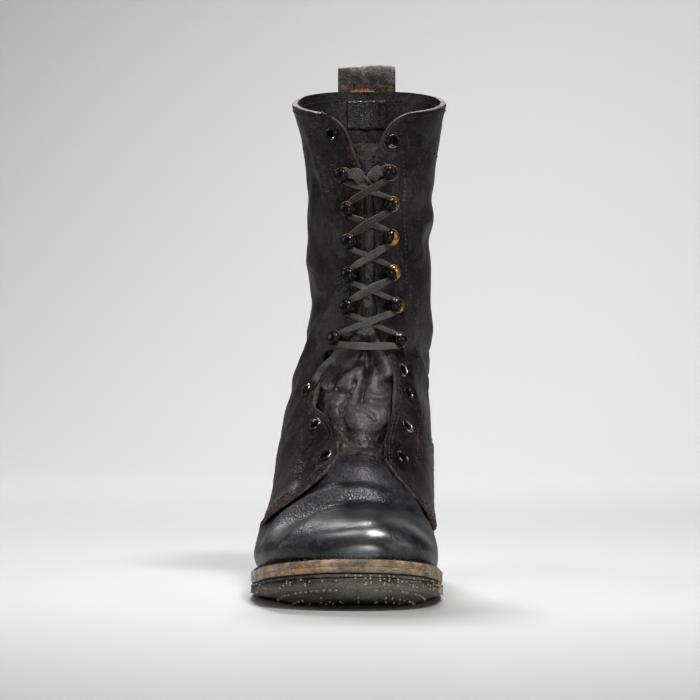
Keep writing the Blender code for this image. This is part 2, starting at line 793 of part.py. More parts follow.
def hook_profile():
    neck_top = HOOK_BASE_WALL + GAP + 2 * LACE_RADIUS + LACE_SPRING
    dome = [
        (HOOK_DOME_RADIUS * math.cos(a), neck_top + HOOK_DOME_HEIGHT * math.sin(a))
        for a in (0.0, math.radians(45), math.radians(90))
    ]
    dome[-1] = (0.0, dome[-1][1])
    points = [
        (0.0, 0.0), (HOOK_BASE_RADIUS, 0.0), (HOOK_BASE_RADIUS, HOOK_BASE_WALL),
        (HOOK_NECK_RADIUS, HOOK_BASE_WALL), (HOOK_NECK_RADIUS, neck_top), *dome,
    ]
    return [(radius, height + GAP) for radius, height in points][::-1]


def make_hooks():
    enamel = material("hook_enamel", (0.035, 0.033, 0.032), 0.25, 0.6)
    for count in range(len(HOOKS)):
        for side in SIDES:
            frame = fastener_frame(HOOKS, count, side)
            turned(f"hook_{side_name(side)}_{count + 1}", hook_profile(), enamel, frame, HOOK_SIDES)


LACE_LIFT = GAP + HOOK_BASE_WALL + GAP + LACE_RADIUS
LACE_TURN = (HOOK_NECK_RADIUS + GAP + LACE_RADIUS) / math.cos(math.radians(25))


def around_hook(count, side, angles):
    """Points of the lace round a hook's neck, by angle: 0 away from the throat, 90 up the shaft."""
    frame = fastener_frame(HOOKS, count, side)
    return [
        frame @ Vector((LACE_TURN * math.cos(math.radians(a)), LACE_TURN * math.sin(math.radians(a)), LACE_LIFT))
        for a in angles
    ]


def across_throat(start, end, shares, lift):
    """Points of the lace on its straight way over the throat, seen from the front, at shares of that way."""
    points = []
    for share in shares:
        at = start.lerp(end, share)
        points.append(front_at(at.x, at.z, -QUARTER_STEP - LACE_SPRING - lift))
    return points


def lace_strand(side, bar_shares, lift):
    """One half of the lace: from the bar at the lowest hooks, up from hook to hook to the highest."""
    bar = [around_hook(0, end, (LACE_ARRIVES,))[0] for end in (-side, side)]
    points = across_throat(*bar, bar_shares, lift)
    for count in range(len(HOOKS) - 1):
        start = around_hook(count, side, (LACE_LEAVES,))[0]
        end = around_hook(count + 1, -side, (LACE_ARRIVES,))[0]
        points += around_hook(count, side, LACE_ROUND_HOOK)
        points += across_throat(start, end, LACE_OVER_THROAT, lift)
        side = -side
    return points + around_hook(len(HOOKS) - 1, side, LACE_ROUND_TOP_HOOK)


def make_lace(cloth):
    over = lace_strand(1, (0.42, 0.6, 0.78), LACE_LIFT)
    under = lace_strand(-1, (0.36, 0.5, 0.78), LACE_LIFT - GAP / 2)
    lace = tube("lace", over, LACE_RADIUS, cloth, 1)
    other = tube("lace_other_strand", under, LACE_RADIUS, cloth, 1)
    boolean(lace, other, "UNION")


def make_lace_ends(cloth):
    """The two loose ends, which turn in from the top hooks and go down between the facings over the tongue."""
    beside = LACE_RADIUS + GAP / 2
    on_tongue = UPPER_WALL + TONGUE_GAP - LACE_RADIUS - GAP
    over_facing = -QUARTER_STEP - LACE_SPRING - LACE_RADIUS
    for side in SIDES:
        turn = around_hook(len(HOOKS) - 1, side, LACE_END_TURN)
        top = turn[-1].z
        points = turn + [
            front_at(throat_centre(top) + side * (beside + 2.4 * LACE_RADIUS), top + LACE_RADIUS / 2, over_facing),
            front_at(throat_centre(top) + side * (beside + 0.3 * LACE_RADIUS), top - LACE_RADIUS, over_facing / 2),
        ]
        for share in LACE_END_SHARES:
            z = top - LACE_END_DROP * share
            points.append(front_at(throat_centre(z) + side * beside, z, on_tongue))
        tube(f"lace_end_{side_name(side)}", points, LACE_RADIUS, cloth, 2)


def back_at(x, row, inset):
    """The point at this x on the back of the shaft."""
    side = -1 if x < 0 else 1

    def angle_of(width, peak, end):
        return math.pi - math.asin(min(SIDE_LIMIT, (abs(x) / width) ** (1 / BACK_ROUND)))

    return on_section(row, side, inset, angle_of)


def make_pull_loop():
    """A strap over the back of the collar, with one leg on each face of the shaft."""
    leather = material("loop_leather", (0.045, 0.040, 0.036), 0.6)
    middle = (UPPER_WALL - COUNTER_STEP) / 2
    reach = (UPPER_WALL + COUNTER_STEP) / 2 + GAP + STRAP_WALL / 2
    skins = []
    for half in (STRAP_WALL / 2, -STRAP_WALL / 2):
        skin = {}
        collars = [back_at(share * LOOP_WIDTH, LAST_ROW, middle) for share in LOOP_COLUMNS]
        straight_y = sum(point.y for point in collars) / len(collars)
        arch_radius = reach + LOOP_OPENING
        arch_z = max(point.z for point in collars) + LOOP_RISE - arch_radius - STRAP_WALL / 2
        for i, share in enumerate(LOOP_COLUMNS):
            x = share * LOOP_WIDTH
            centre = Vector((collars[i].x, straight_y, arch_z))
            arch = [
                centre + (arch_radius + half) * Vector((0, math.cos(a), math.sin(a)))
                for a in (math.pi * k / ARCH_STEPS for k in range(ARCH_STEPS + 1))
            ]
            path = [back_at(x, LAST_ROW - below, middle - reach - half) for below in LOOP_OUTER_LEG] + arch
            path += [back_at(x, LAST_ROW - below, middle + reach + half) for below in LOOP_INNER_LEG]
            skin.update({(i, k): point for k, point in enumerate(path)})
        skins.append(skin)
    count = len(LOOP_OUTER_LEG) + ARCH_STEPS + 1 + len(LOOP_INNER_LEG)
    faces = [
        [(i, k), (i + 1, k), (i + 1, k + 1), (i, k + 1)]
        for i in range(len(LOOP_COLUMNS) - 1)
        for k in range(count - 1)
    ]
    add_mesh("pull_loop", close_sheet(*skins, faces), leather)


def build():
    make_soles()
    make_heel()
    make_upper()
    make_tongue()
    make_eyelets()
    make_hooks()
    cloth = material("lace_cotton", (0.050, 0.045, 0.042), 0.85)
    make_lace(cloth)
    make_lace_ends(cloth)
    make_pull_loop()


for old in list(bpy.data.objects):
    bpy.data.objects.remove(old)
BOOT = bpy.data.collections.new("combat_boot")
CUTTERS = bpy.data.collections.new("cutters")
bpy.context.scene.collection.children.link(BOOT)
bpy.context.scene.collection.children.link(CUTTERS)
build()
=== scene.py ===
"""The worn black combat boot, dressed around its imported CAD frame. Metres, toe to -Y, inner side to +X."""

import math

import bpy
import numpy as np
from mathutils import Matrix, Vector


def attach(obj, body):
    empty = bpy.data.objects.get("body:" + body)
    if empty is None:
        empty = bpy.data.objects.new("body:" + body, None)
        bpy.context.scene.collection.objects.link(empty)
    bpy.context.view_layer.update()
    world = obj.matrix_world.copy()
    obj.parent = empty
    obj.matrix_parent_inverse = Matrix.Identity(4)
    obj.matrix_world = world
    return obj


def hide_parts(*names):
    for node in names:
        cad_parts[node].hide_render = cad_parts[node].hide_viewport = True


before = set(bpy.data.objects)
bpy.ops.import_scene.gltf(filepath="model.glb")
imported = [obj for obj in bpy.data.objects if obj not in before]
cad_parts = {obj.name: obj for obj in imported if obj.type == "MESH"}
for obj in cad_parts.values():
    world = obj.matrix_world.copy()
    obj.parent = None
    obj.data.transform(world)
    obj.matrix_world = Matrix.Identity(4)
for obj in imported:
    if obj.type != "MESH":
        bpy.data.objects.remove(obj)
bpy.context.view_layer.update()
MM = 0.001
SIDES = ((-1, "outer"), (1, "inner"))


# The last and the shaft, as in the part's source

SOLE_LENGTH = 0.300
BALL_WIDTH = 0.1085
SHAFT_WIDTH = 0.074
SHAFT_SHARE = 0.682
INSTEP_HEIGHT = 0.135
LEG_HEIGHT = 0.165
UPPER_WALL = 0.0022
QUARTER_STEP = 0.0014
COUNTER_STEP = 0.0026
TONGUE_GAP = 0.0009
TONGUE_WALL = 0.0018
STRAP_WALL = 0.0020
COLLAR_CORNER = 0.0145
GAP = 0.0003
OUTSOLE_TOP = 0.0070
MIDSOLE_BOTTOM = OUTSOLE_TOP + GAP
MIDSOLE_TOP = MIDSOLE_BOTTOM + 0.0035
WELT_BOTTOM = MIDSOLE_TOP + GAP
WELT_TOP = WELT_BOTTOM + 0.0035
FEATHER = WELT_TOP + GAP
WELT_WIDTH = 0.0115
TOE_SPRING = 0.0135
HEEL_HEIGHT = 0.0210
HEEL_CAP_WALL = 0.0070
FEATHER_MARGIN = 0.0040
SPRING_CURVE = 1.6
TREAD_FRONT = 0.36
TREAD_BACK = 0.45
ARCH_TOP = 0.80
HEEL_BREAST = 0.755
HEEL_CENTRE = 0.88
BACK_ROUND = 0.90
HEEL_ROW = 14
LAST_ROW = 21
QUARTER_FRONT = 8
FASTENER_INSET = 0.0080
HOOK_BASE_WALL = 0.0008
HOOK_NECK_RADIUS = 0.0016
LACE_RADIUS = 0.0013
LACE_SPRING = 0.0008
LACE_END_DROP = 0.024
RIM_GAP = 0.0006
LOOP_WIDTH = 0.036
LOOP_OPENING = 0.0026
LOOP_RISE = 0.0165
TOE_ROUND = (0.16, 2.4)
HEEL_ROUND = (0.13, 2.6)
SWEPT_ROWS = 4
SWEEP_OUTER = 1.5
SWEEP_INNER = 0.95
SWEEP_CURVE = 0.75

# share of the length, outer and inner half width, and swing to the inner side as shares of the ball's width
SOLE_PLAN = np.array((
    (0.00, 0.405, 0.340, 0.040),
    (0.04, 0.442, 0.373, 0.038),
    (0.10, 0.484, 0.396, 0.034),
    (0.18, 0.525, 0.415, 0.028),
    (0.27, 0.562, 0.429, 0.022),
    (0.35, 0.572, 0.424, 0.018),
    (0.43, 0.548, 0.392, 0.014),
    (0.52, 0.484, 0.336, 0.010),
    (0.62, 0.410, 0.290, 0.006),
    (0.72, 0.359, 0.281, 0.003),
    (0.82, 0.341, 0.309, 0.000),
    (0.90, 0.341, 0.327, 0.000),
    (1.00, 0.332, 0.327, 0.000),
))
COLUMNS = ("front", "front_up", "base", "base_up", "outer", "inner", "centre", "gap_out", "gap_in", "peak")
# one row a section, from the toe to the collar, as shares of the named sizes
SECTIONS = np.array((
    (0.0133, 0.2105, 0.000, 0.000, 0.000, 0.000, 0.040, 0.100, 0.100, 0.90),
    (0.0200, 0.2650, 0.020, 0.000, 0.225, 0.190, 0.038, 0.110, 0.110, 0.90),
    (0.0400, 0.3130, 0.055, 0.000, 0.380, 0.315, 0.036, 0.130, 0.130, 0.88),
    (0.0800, 0.3460, 0.105, 0.000, 0.462, 0.372, 0.032, 0.150, 0.150, 0.88),
    (0.1330, 0.3610, 0.165, 0.000, 0.505, 0.390, 0.028, 0.170, 0.170, 0.92),
    (0.1900, 0.3720, 0.230, 0.000, 0.535, 0.400, 0.024, 0.175, 0.185, 1.00),
    (0.2470, 0.4300, 0.300, 0.000, 0.550, 0.402, 0.022, 0.175, 0.185, 1.12),
    (0.3030, 0.5190, 0.365, 0.000, 0.548, 0.398, 0.020, 0.175, 0.185, 1.22),
    (0.3570, 0.6040, 0.440, 0.000, 0.526, 0.390, 0.020, 0.175, 0.185, 1.28),
    (0.4070, 0.6890, 0.520, 0.000, 0.502, 0.384, 0.020, 0.184, 0.182, 1.30),
    (0.4530, 0.7780, 0.600, 0.000, 0.486, 0.380, 0.020, 0.255, 0.215, 1.30),
    (0.4960, 0.8740, 0.690, 0.000, 0.472, 0.376, 0.022, 0.385, 0.240, 1.28),
    (0.5300, 0.9850, 0.785, 0.000, 0.463, 0.370, 0.026, 0.325, 0.222, 1.24),
    (0.5530, 1.0850, 0.890, 0.000, 0.460, 0.358, 0.034, 0.105, 0.115, 1.20),
    (0.5670, 1.1820, 1.000, 0.266, 0.432, 0.340, 0.046, 0.052, 0.052, 1.14),
    (0.5750, 1.2790, 0.984, 0.475, 0.352, 0.304, 0.047, 0.040, 0.040, 1.10),
    (0.5790, 1.3820, 0.966, 0.730, 0.320, 0.343, 0.047, 0.040, 0.040, 1.06),
    (0.5800, 1.4850, 0.951, 1.000, 0.310, 0.344, 0.045, 0.040, 0.040, 1.05),
    (0.5790, 1.5880, 0.947, 1.240, 0.332, 0.340, 0.042, 0.041, 0.041, 1.05),
    (0.5760, 1.6850, 0.951, 1.490, 0.328, 0.364, 0.032, 0.052, 0.052, 1.05),
    (0.5690, 1.7820, 0.957, 1.765, 0.346, 0.396, 0.029, 0.128, 0.118, 1.05),
    (0.5600, 1.8730, 0.964, 2.020, 0.412, 0.440, 0.030, 0.170, 0.170, 1.05),
))
# row on the outer and inner side, then distance behind the throat as a share of the inset, outer and inner
EYELETS = (
    (8.20, 8.56, 0.93, 1.28),
    (10.05, 10.22, 1.05, 1.20),
    (12.00, 11.70, 1.35, 1.08),
    (12.70, 12.50, 1.30, 1.20),
    (20.28, 20.00, 1.15, 0.90),
)
HOOKS = (
    (13.07, 13.30, 1.20, 1.20),
    (14.12, 14.38, 0.95, 1.28),
    (15.31, 15.50, 0.90, 1.12),
    (16.48, 16.63, 0.90, 1.05),
    (17.59, 17.77, 0.96, 1.10),
    (18.81, 18.89, 1.15, 1.05),
)


def smooth(knots, values, at):
    """A smooth curve through given values."""
    knots = np.asarray(knots, float)
    slopes = np.gradient(values, knots)
    at = np.clip(at, knots[0], knots[-1])
    i = np.clip(np.searchsorted(knots, at) - 1, 0, len(knots) - 2)
    width = knots[i + 1] - knots[i]
    s = (at - knots[i]) / width
    return (
        (2 * s**3 - 3 * s**2 + 1) * values[i]
        + (s**3 - 2 * s**2 + s) * width * slopes[i]
        + (3 * s**2 - 2 * s**3) * values[i + 1]
        + (s**3 - s**2) * width * slopes[i + 1]
    )


def ease(s):
    """0 below 0 and 1 above 1, with a soft step between."""
    s = np.clip(s, 0.0, 1.0)
    return s * s * (3 - 2 * s)


def bell(given, middle, width):
    return np.exp(-(((given - middle) / width) ** 2))


def unit(v):
    return v / np.maximum(np.linalg.norm(v, axis=-1, keepdims=True), 1e-12)


def alike(*given):
    """The same values as arrays of one shape."""
    return (np.asarray(a, float) for a in np.broadcast_arrays(*given))


def travel(path):
    """How far along a path each of its points lies."""
    return np.concatenate([[0], np.cumsum(np.linalg.norm(np.diff(path, axis=0), axis=1))])


def read_along(at, knots, columns):
    return np.stack([np.interp(at, knots, columns[:, c]) for c in range(columns.shape[1])], -1)


def back_to_y(back):
    return back - HEEL_CENTRE * SOLE_LENGTH


def plan(column, along):
    return smooth(SOLE_PLAN[:, 0], SOLE_PLAN[:, column], along)


def end_round(distance, reach, power):
    near = np.clip(1 - distance / reach, 0.0, 1.0)
    return np.clip(1 - near**power, 0.0, 1.0) ** (1 / power)


def sole_half_width(along, side, margin):
    share = np.where(np.asarray(side) < 0, plan(1, along), plan(2, along))
    rounding = end_round(along, *TOE_ROUND) * end_round(1 - along, *HEEL_ROUND)
    return share * rounding * (BALL_WIDTH - 2 * margin)


def sole_bottom(along):
    spring = np.clip(1 - along / TREAD_FRONT, 0.0, 1.0) ** SPRING_CURVE * TOE_SPRING
    return spring + HEEL_HEIGHT * ease((along - TREAD_BACK) / (ARCH_TOP - TREAD_BACK))


def sole_at(along, side, margin, height):
    along, side, margin, height = np.broadcast_arrays(along, side, margin, height)
    x = plan(3, along) * BALL_WIDTH + side * sole_half_width(along, side, margin)
    return np.stack([x, back_to_y(margin + along * (SOLE_LENGTH - 2 * margin)), height], -1)


def height_of(up):
    return INSTEP_HEIGHT * np.minimum(up, 1.0) + LEG_HEIGHT * np.maximum(up - 1.0, 0.0)


def value(name, row, first=0, last=LAST_ROW):
    return smooth(np.arange(first, last + 1), SECTIONS[first : last + 1, COLUMNS.index(name)], row)


def front_point(row):
    return np.stack([
        value("centre", row) * BALL_WIDTH,
        back_to_y(value("front", row) * SOLE_LENGTH),
        height_of(value("front_up", row)),
    ], -1)


def back_point(row):
    near_sole = np.maximum(0.0, HEEL_ROW + 1 - row)
    back = value("base", row, HEEL_ROW) * SOLE_LENGTH - FEATHER_MARGIN * near_sole
    lift = sole_bottom(1.0) + FEATHER - height_of(SECTIONS[HEEL_ROW, 3])
    z = height_of(value("base_up", row, HEEL_ROW)) + lift * near_sole
    return np.stack([np.zeros_like(z), back_to_y(back), z], -1)


def turned_in(curve, row, sign, inset):
    step = 0.02
    run = curve(np.minimum(row + step, LAST_ROW)) - curve(np.maximum(row - step, 0))
    across = np.stack([np.zeros_like(run[..., 0]), sign * run[..., 2], -sign * run[..., 1]], -1)
    length = np.linalg.norm(across, axis=-1, keepdims=True)
    return curve(row) + np.asarray(inset)[..., None] * across / length


def upper_section(row, side, inset):
    front = turned_in(front_point, row, 1, inset)
    base_width = BALL_WIDTH + (SHAFT_WIDTH / SHAFT_SHARE - BALL_WIDTH) * ease(row - HEEL_ROW)
    width = np.where(side < 0, value("outer", row), value("inner", row)) * base_width - inset
    low = row < HEEL_ROW
    along = value("base", row, 0, HEEL_ROW)
    margin = FEATHER_MARGIN + inset
    edge = np.where(low, sole_half_width(along, side, margin), 0.0)
    on_feather = np.stack([
        plan(3, along) * BALL_WIDTH,
        back_to_y(margin + along * (SOLE_LENGTH - 2 * margin)),
        sole_bottom(along) + FEATHER,
    ], -1)
    on_seam = turned_in(back_point, np.maximum(row, HEEL_ROW + 0.03), -1, inset)
    on_seam[..., 2] = np.where(row <= HEEL_ROW, sole_bottom(1.0) + FEATHER, on_seam[..., 2])
    base = np.where(low[..., None], on_feather, on_seam)
    return front, base, np.maximum(np.maximum(width, edge * 1.03), 1e-5), edge, value("peak", row)


def sweep_end(width, edge):
    return math.pi - np.arcsin(np.minimum(0.999, (edge / width) ** (1 / BACK_ROUND)))


def throat_gap(row, side):
    into_corner = np.clip(1 - (LAST_ROW - row), 0.0, 1.0)
    corner = COLLAR_CORNER * (1 - np.sqrt(1 - into_corner**2))
    return np.where(side < 0, value("gap_out", row), value("gap_in", row)) * SHAFT_WIDTH + corner


def throat_angle(row, side, width, peak, extra=0.0):
    gap = throat_gap(row, side) + extra
    share = np.minimum(0.95, np.maximum(gap / width, 1e-9) ** (1 / peak))
    return np.where(width > gap, np.arcsin(share), math.pi / 3)


def on_section(row, side, inset, angle_of):
    """Points of the upper: angle_of gives how far round its section each one lies."""
    row, side, inset = alike(row, side, inset)
    front, base, width, edge, peak = upper_section(row, side, inset)
    end = sweep_end(width, edge)
    angle = angle_of(width, peak, end)
    power = np.where(angle < math.pi / 2, peak, BACK_ROUND)
    down = (1 - np.cos(angle)) / (1 - np.cos(end))
    point = front + (base - front) * down[..., None]
    point[..., 0] += side * width * np.maximum(0.0, np.sin(angle)) ** power
    return point


def swept(row, side, down):
    """The section that a place belongs to, where the quarters' front edge sweeps towards the toe."""
    near_edge = np.clip(1 - np.abs(row - QUARTER_FRONT) / SWEPT_ROWS, 0.0, 1.0) ** 2
    sweep = np.where(side < 0, SWEEP_OUTER, SWEEP_INNER) * near_edge
    return row - sweep * np.sin(math.pi * np.clip(down, 0.0, 1.0) ** SWEEP_CURVE)


def upper_at(row, side, down, inset):
    """Down is 0 on the throat's edge and 1 at the sole or back seam. Below 0 it crosses the throat, to -1."""
    row, side, down, inset = alike(row, side, down, inset)
    row = swept(row, side, down)

    def angle_of(width, peak, end):
        start = np.minimum(throat_angle(row, side, width, peak), 0.8 * end)
        return np.where(down >= 0, start + (end - start) * down, start * (1 + down))

    return on_section(row, side, inset, angle_of)


def facing_at(row, side, behind, inset):
    """Points that lie this far behind the throat's edge."""
    row, side, behind, inset = alike(row, side, behind, inset)
    return on_section(row, side, inset, lambda width, peak, end: throat_angle(row, side, width, peak, behind))


def front_at(x, z, inset):
    """Points with this x and z on the front of the boot."""
    x, z, inset = alike(x, z, inset)

    def at(row):
        aside = x - value("centre", row) * BALL_WIDTH
        return on_section(row, np.where(aside < 0, -1.0, 1.0), inset, lambda width, peak, end: np.arcsin(
            np.minimum(0.95, (np.abs(aside) / width) ** (1 / peak))
        ))

    low, high = np.full(x.shape, 4.0), np.full(x.shape, float(LAST_ROW))
    for _ in range(20):
        middle = (low + high) / 2
        below = at(middle)[..., 2] < z
        low, high = np.where(below, middle, low), np.where(below, high, middle)
    return at(low)


def back_at(x, row, inset):
    """Points with this x on the back of the shaft."""
    x, row, inset = alike(x, row, inset)
    return on_section(row, np.where(x < 0, -1.0, 1.0), inset, lambda width, peak, end: math.pi - np.arcsin(
        np.minimum(0.95, (np.abs(x) / width) ** (1 / BACK_ROUND))
    ))


def throat_centre(z):
    rows = np.linspace(QUARTER_FRONT, LAST_ROW, 80)
    points = front_point(rows)
    return np.interp(z, points[:, 2], points[:, 0])


def facing_frame(row, side, behind):
    """Where a fastener stands and its axes: away from the throat, up the shaft and out of the leather."""
    step, row_step = 0.0004, 0.02
    at = facing_at(row, side, behind, -QUARTER_STEP)
    away = facing_at(row, side, behind + step, -QUARTER_STEP) - at
    up = facing_at(row + row_step, side, behind, -QUARTER_STEP) - at
    out = unit(np.cross(away, up) * side)
    out = -out if out[1] > 0 else out
    up = unit(up - out * up.dot(out))
    away = unit(np.cross(up, out))
    away = -away if away[0] * side < 0 else away
    return at, np.array([away, up, out])


def fastener(places, count, side):
    place = places[count]
    row, behind = (place[0], place[2]) if side < 0 else (place[1], place[3])
    return facing_frame(row, side, behind * FASTENER_INSET)


# Mesh helpers

FORM_STEP = 1.5
LOWEST_STITCH = 0.0002


def ripple(points, wavelength, seed, waves=9):
    """A smooth random field of about -1 to 1 over the points, from seeded sine waves."""
    rng = np.random.RandomState(seed)
    total = np.zeros(points.shape[:-1])
    for _ in range(waves):
        direction = unit(rng.normal(size=3))
        length = wavelength * rng.uniform(0.7, 1.6)
        total += np.sin(points @ direction * (2 * math.pi / length) + rng.uniform(0, 2 * math.pi))
    return total / math.sqrt(waves * 1.2)


def grid_faces(rows, columns, wrap=False):
    """Quads of a rows x columns grid of points."""
    across = columns if wrap else columns - 1
    i, j = np.meshgrid(np.arange(rows - 1), np.arange(across), indexing="ij")
    i, j = i.ravel(), j.ravel()
    k = (j + 1) % columns
    return np.stack([i * columns + j, (i + 1) * columns + j, (i + 1) * columns + k, i * columns + k], -1)


def grid_normals(grid):
    along, across = np.gradient(grid, axis=0), np.gradient(grid, axis=1)
    return unit(np.cross(along, across))


def closed_shell(outer, inner, quads):
    """Points and faces of a solid between two skins with the same faces, with a rim along open edges."""
    outer, inner = outer.reshape(-1, 3), inner.reshape(-1, 3)
    count = len(outer)
    edges = np.concatenate([quads[:, [a, (a + 1) % 4]] for a in range(4)])
    key = np.sort(edges, 1)
    _, where, uses = np.unique(key[:, 0] * count + key[:, 1], return_index=True, return_counts=True)
    rim = edges[where[uses == 1]]
    walls = np.stack([rim[:, 1], rim[:, 0], rim[:, 0] + count, rim[:, 1] + count], -1)
    return np.concatenate([outer, inner]), np.concatenate([quads, quads[:, ::-1] + count, walls])


def on_both(paint, inside=None):
    """Paint for both skins of a solid, the same on either unless another is given for the inside."""
    return np.concatenate([paint.reshape(-1, 4), (paint if inside is None else inside).reshape(-1, 4)])


def add_object(name, data):
    made = bpy.data.objects.new(name, data)
    bpy.context.scene.collection.objects.link(made)
    return made


def add_piece(name, points, faces, finish, replaces=(), paint=None, flat=None):
    mesh = bpy.data.meshes.new(name)
    corners = [list(dict.fromkeys(face)) for face in np.asarray(faces).tolist()]
    mesh.from_pydata(np.asarray(points).tolist(), [], corners)
    mesh.validate()
    mesh.materials.append(finish)
    if paint is not None:
        layer = mesh.color_attributes.new("paint", "FLOAT_COLOR", "POINT")
        layer.data.foreach_set("color", np.asarray(paint, np.float32).ravel())
    mesh.shade_smooth()
    if flat:
        mesh.set_sharp_from_angle(angle=math.radians(flat))
    piece = add_object(name, mesh)
    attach(piece, "root")
    if replaces:
        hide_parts(*replaces)
    return piece


def add_stitches(name, rows, finish):
    """One piece from several rows of stitches."""
    sizes = np.cumsum([0] + [len(points) for points, _ in rows])
    faces = np.concatenate([faces + base for (_, faces), base in zip(rows, sizes)])
    points = np.concatenate([points for points, _ in rows])
    # stitches on the tread are worn flat where the boot stands
    points[:, 2] = np.maximum(points[:, 2], LOWEST_STITCH)
    add_piece(name, points, faces, finish)


def line_distance(u, v, line):
    """Distance to a line in a plane, the side of it, and how far along it the nearest place is."""
    lengths = np.linalg.norm(np.diff(line, axis=0), axis=1)
    starts = travel(line)
    best = np.full(u.shape, 1e9)
    sign = np.ones(u.shape)
    along = np.zeros(u.shape)
    for i, (a, b) in enumerate(zip(line, line[1:])):
        run = (b - a) / max(lengths[i], 1e-12)
        t = np.clip((u - a[0]) * run[0] + (v - a[1]) * run[1], 0, lengths[i])
        du, dv = u - a[0] - t * run[0], v - a[1] - t * run[1]
        d = np.hypot(du, dv)
        nearer = d < best
        best = np.where(nearer, d, best)
        sign = np.where(nearer, np.sign(run[0] * dv - run[1] * du), sign)
        along = np.where(nearer, (starts[i] + t) / starts[-1], along)
    return best, sign, along


def fine_line(line, step):
    """A smooth curve through a few given points."""
    line = np.asarray(line, float)
    knots = travel(line)
    at = np.linspace(0, knots[-1], max(2, int(knots[-1] / step) + 1))
    return np.stack([smooth(knots, line[:, c], at) for c in range(line.shape[1])], -1)


def forms(u, v, table):
    """Height in mm of soft troughs and ridges drawn as lines in a plane, all in mm.

    Each is (height, width on the left, width on the right, share of the line it fades in over, points), with
    "roll" after it where its top is round and its sides are steep.
    """
    total = np.zeros(u.shape)
    for height, left, right, fade, points, *kind in table:
        d, side, along = line_distance(u, v, fine_line(points, FORM_STEP))
        width = np.where(side > 0, left, right)
        taper = ease(along / fade) * ease((1 - along) / fade) if fade else 1.0
        if kind:
            round_top = np.sqrt(np.clip(1 - (d / width) ** 2, 0, 1))
            total += height * taper * (0.8 * round_top + 0.2 * bell(d, 0, width))
        else:
            total += height * taper * bell(d, 0, width)
    return total


# Materials


def node(tree, kind, inputs=(), **settings):
    made = tree.nodes.new("ShaderNode" + kind)
    for key, setting in settings.items():
        setattr(made, key, setting)
    for key, given in dict(inputs).items():
        if isinstance(given, bpy.types.NodeSocket):
            tree.links.new(given, made.inputs[key])
        else:
            made.inputs[key].default_value = given
    return made


class Shade:
    """A material's node tree, with short calls for the nodes that the finishes share."""

    def __init__(self, name):
        self.material = bpy.data.materials.new(name)
        self.material.use_nodes = True
        self.tree = self.material.node_tree
        self.shader = self.tree.nodes["Principled BSDF"]
        self.place = node(self.tree, "TexCoord").outputs["Object"]

    def noise(self, scale, detail=4.0, rough=0.6, place=None, distortion=0.0):
        return node(self.tree, "TexNoise", {
            "Vector": place or self.place, "Scale": scale, "Detail": detail, "Roughness": rough,
            "Distortion": distortion,
        }).outputs["Fac"]

    def cells(self, scale, feature="F1", place=None):
        inputs = {"Vector": place or self.place, "Scale": scale}
        return node(self.tree, "TexVoronoi", inputs, feature=feature).outputs[0]

    def stretched(self, scale):
        return node(self.tree, "Mapping", {"Vector": self.place, "Scale": scale}).outputs[0]

    def math(self, operation, a, b=0.0, clamp=False):
        return node(self.tree, "Math", {0: a, 1: b}, operation=operation, use_clamp=clamp).outputs[0]

    def times(self, a, b, clamp=False):
        return self.math("MULTIPLY", a, b, clamp)

    def plus(self, a, b, clamp=False):
        return self.math("ADD", a, b, clamp)

    def span(self, given, low, high, to_low=0.0, to_high=1.0):
        return node(self.tree, "MapRange", {
            "Value": given, "From Min": low, "From Max": high, "To Min": to_low, "To Max": to_high,
        }, interpolation_type="SMOOTHSTEP").outputs[0]

    def mix(self, factor, a, b):
        return node(self.tree, "Mix", {0: factor, 6: a, 7: b}, data_type="RGBA").outputs[2]

    def paint(self):
        attribute = node(self.tree, "Attribute", attribute_name="paint")
        split = node(self.tree, "SeparateColor", {0: attribute.outputs["Color"]})
        return (*split.outputs[:3], attribute.outputs["Alpha"])

    def bump(self, height, distance, strength=1.0, below=None):
        inputs = {"Height": height, "Distance": distance, "Strength": strength}
        if below is not None:
            inputs["Normal"] = below
        return node(self.tree, "Bump", inputs).outputs[0]

    def set(self, **sockets):
        names = {
            "colour": "Base Color", "roughness": "Roughness", "metallic": "Metallic", "normal": "Normal",
            "specular": "Specular IOR Level", "coat": "Coat Weight", "coat_roughness": "Coat Roughness",
            "coat_ior": "Coat IOR", "sheen": "Sheen Weight", "sheen_roughness": "Sheen Roughness",
        }
        for key, given in sockets.items():
            socket = self.shader.inputs[names[key]]
            if isinstance(given, bpy.types.NodeSocket):
                self.tree.links.new(given, socket)
            else:
                socket.default_value = given
        return self.material


def rgb(red, green, blue):
    return (red, green, blue, 1.0)


def lit(colour, share):
    """A colour made lighter or darker by a share."""
    return rgb(*(min(1.0, c * share) for c in colour[:3]))


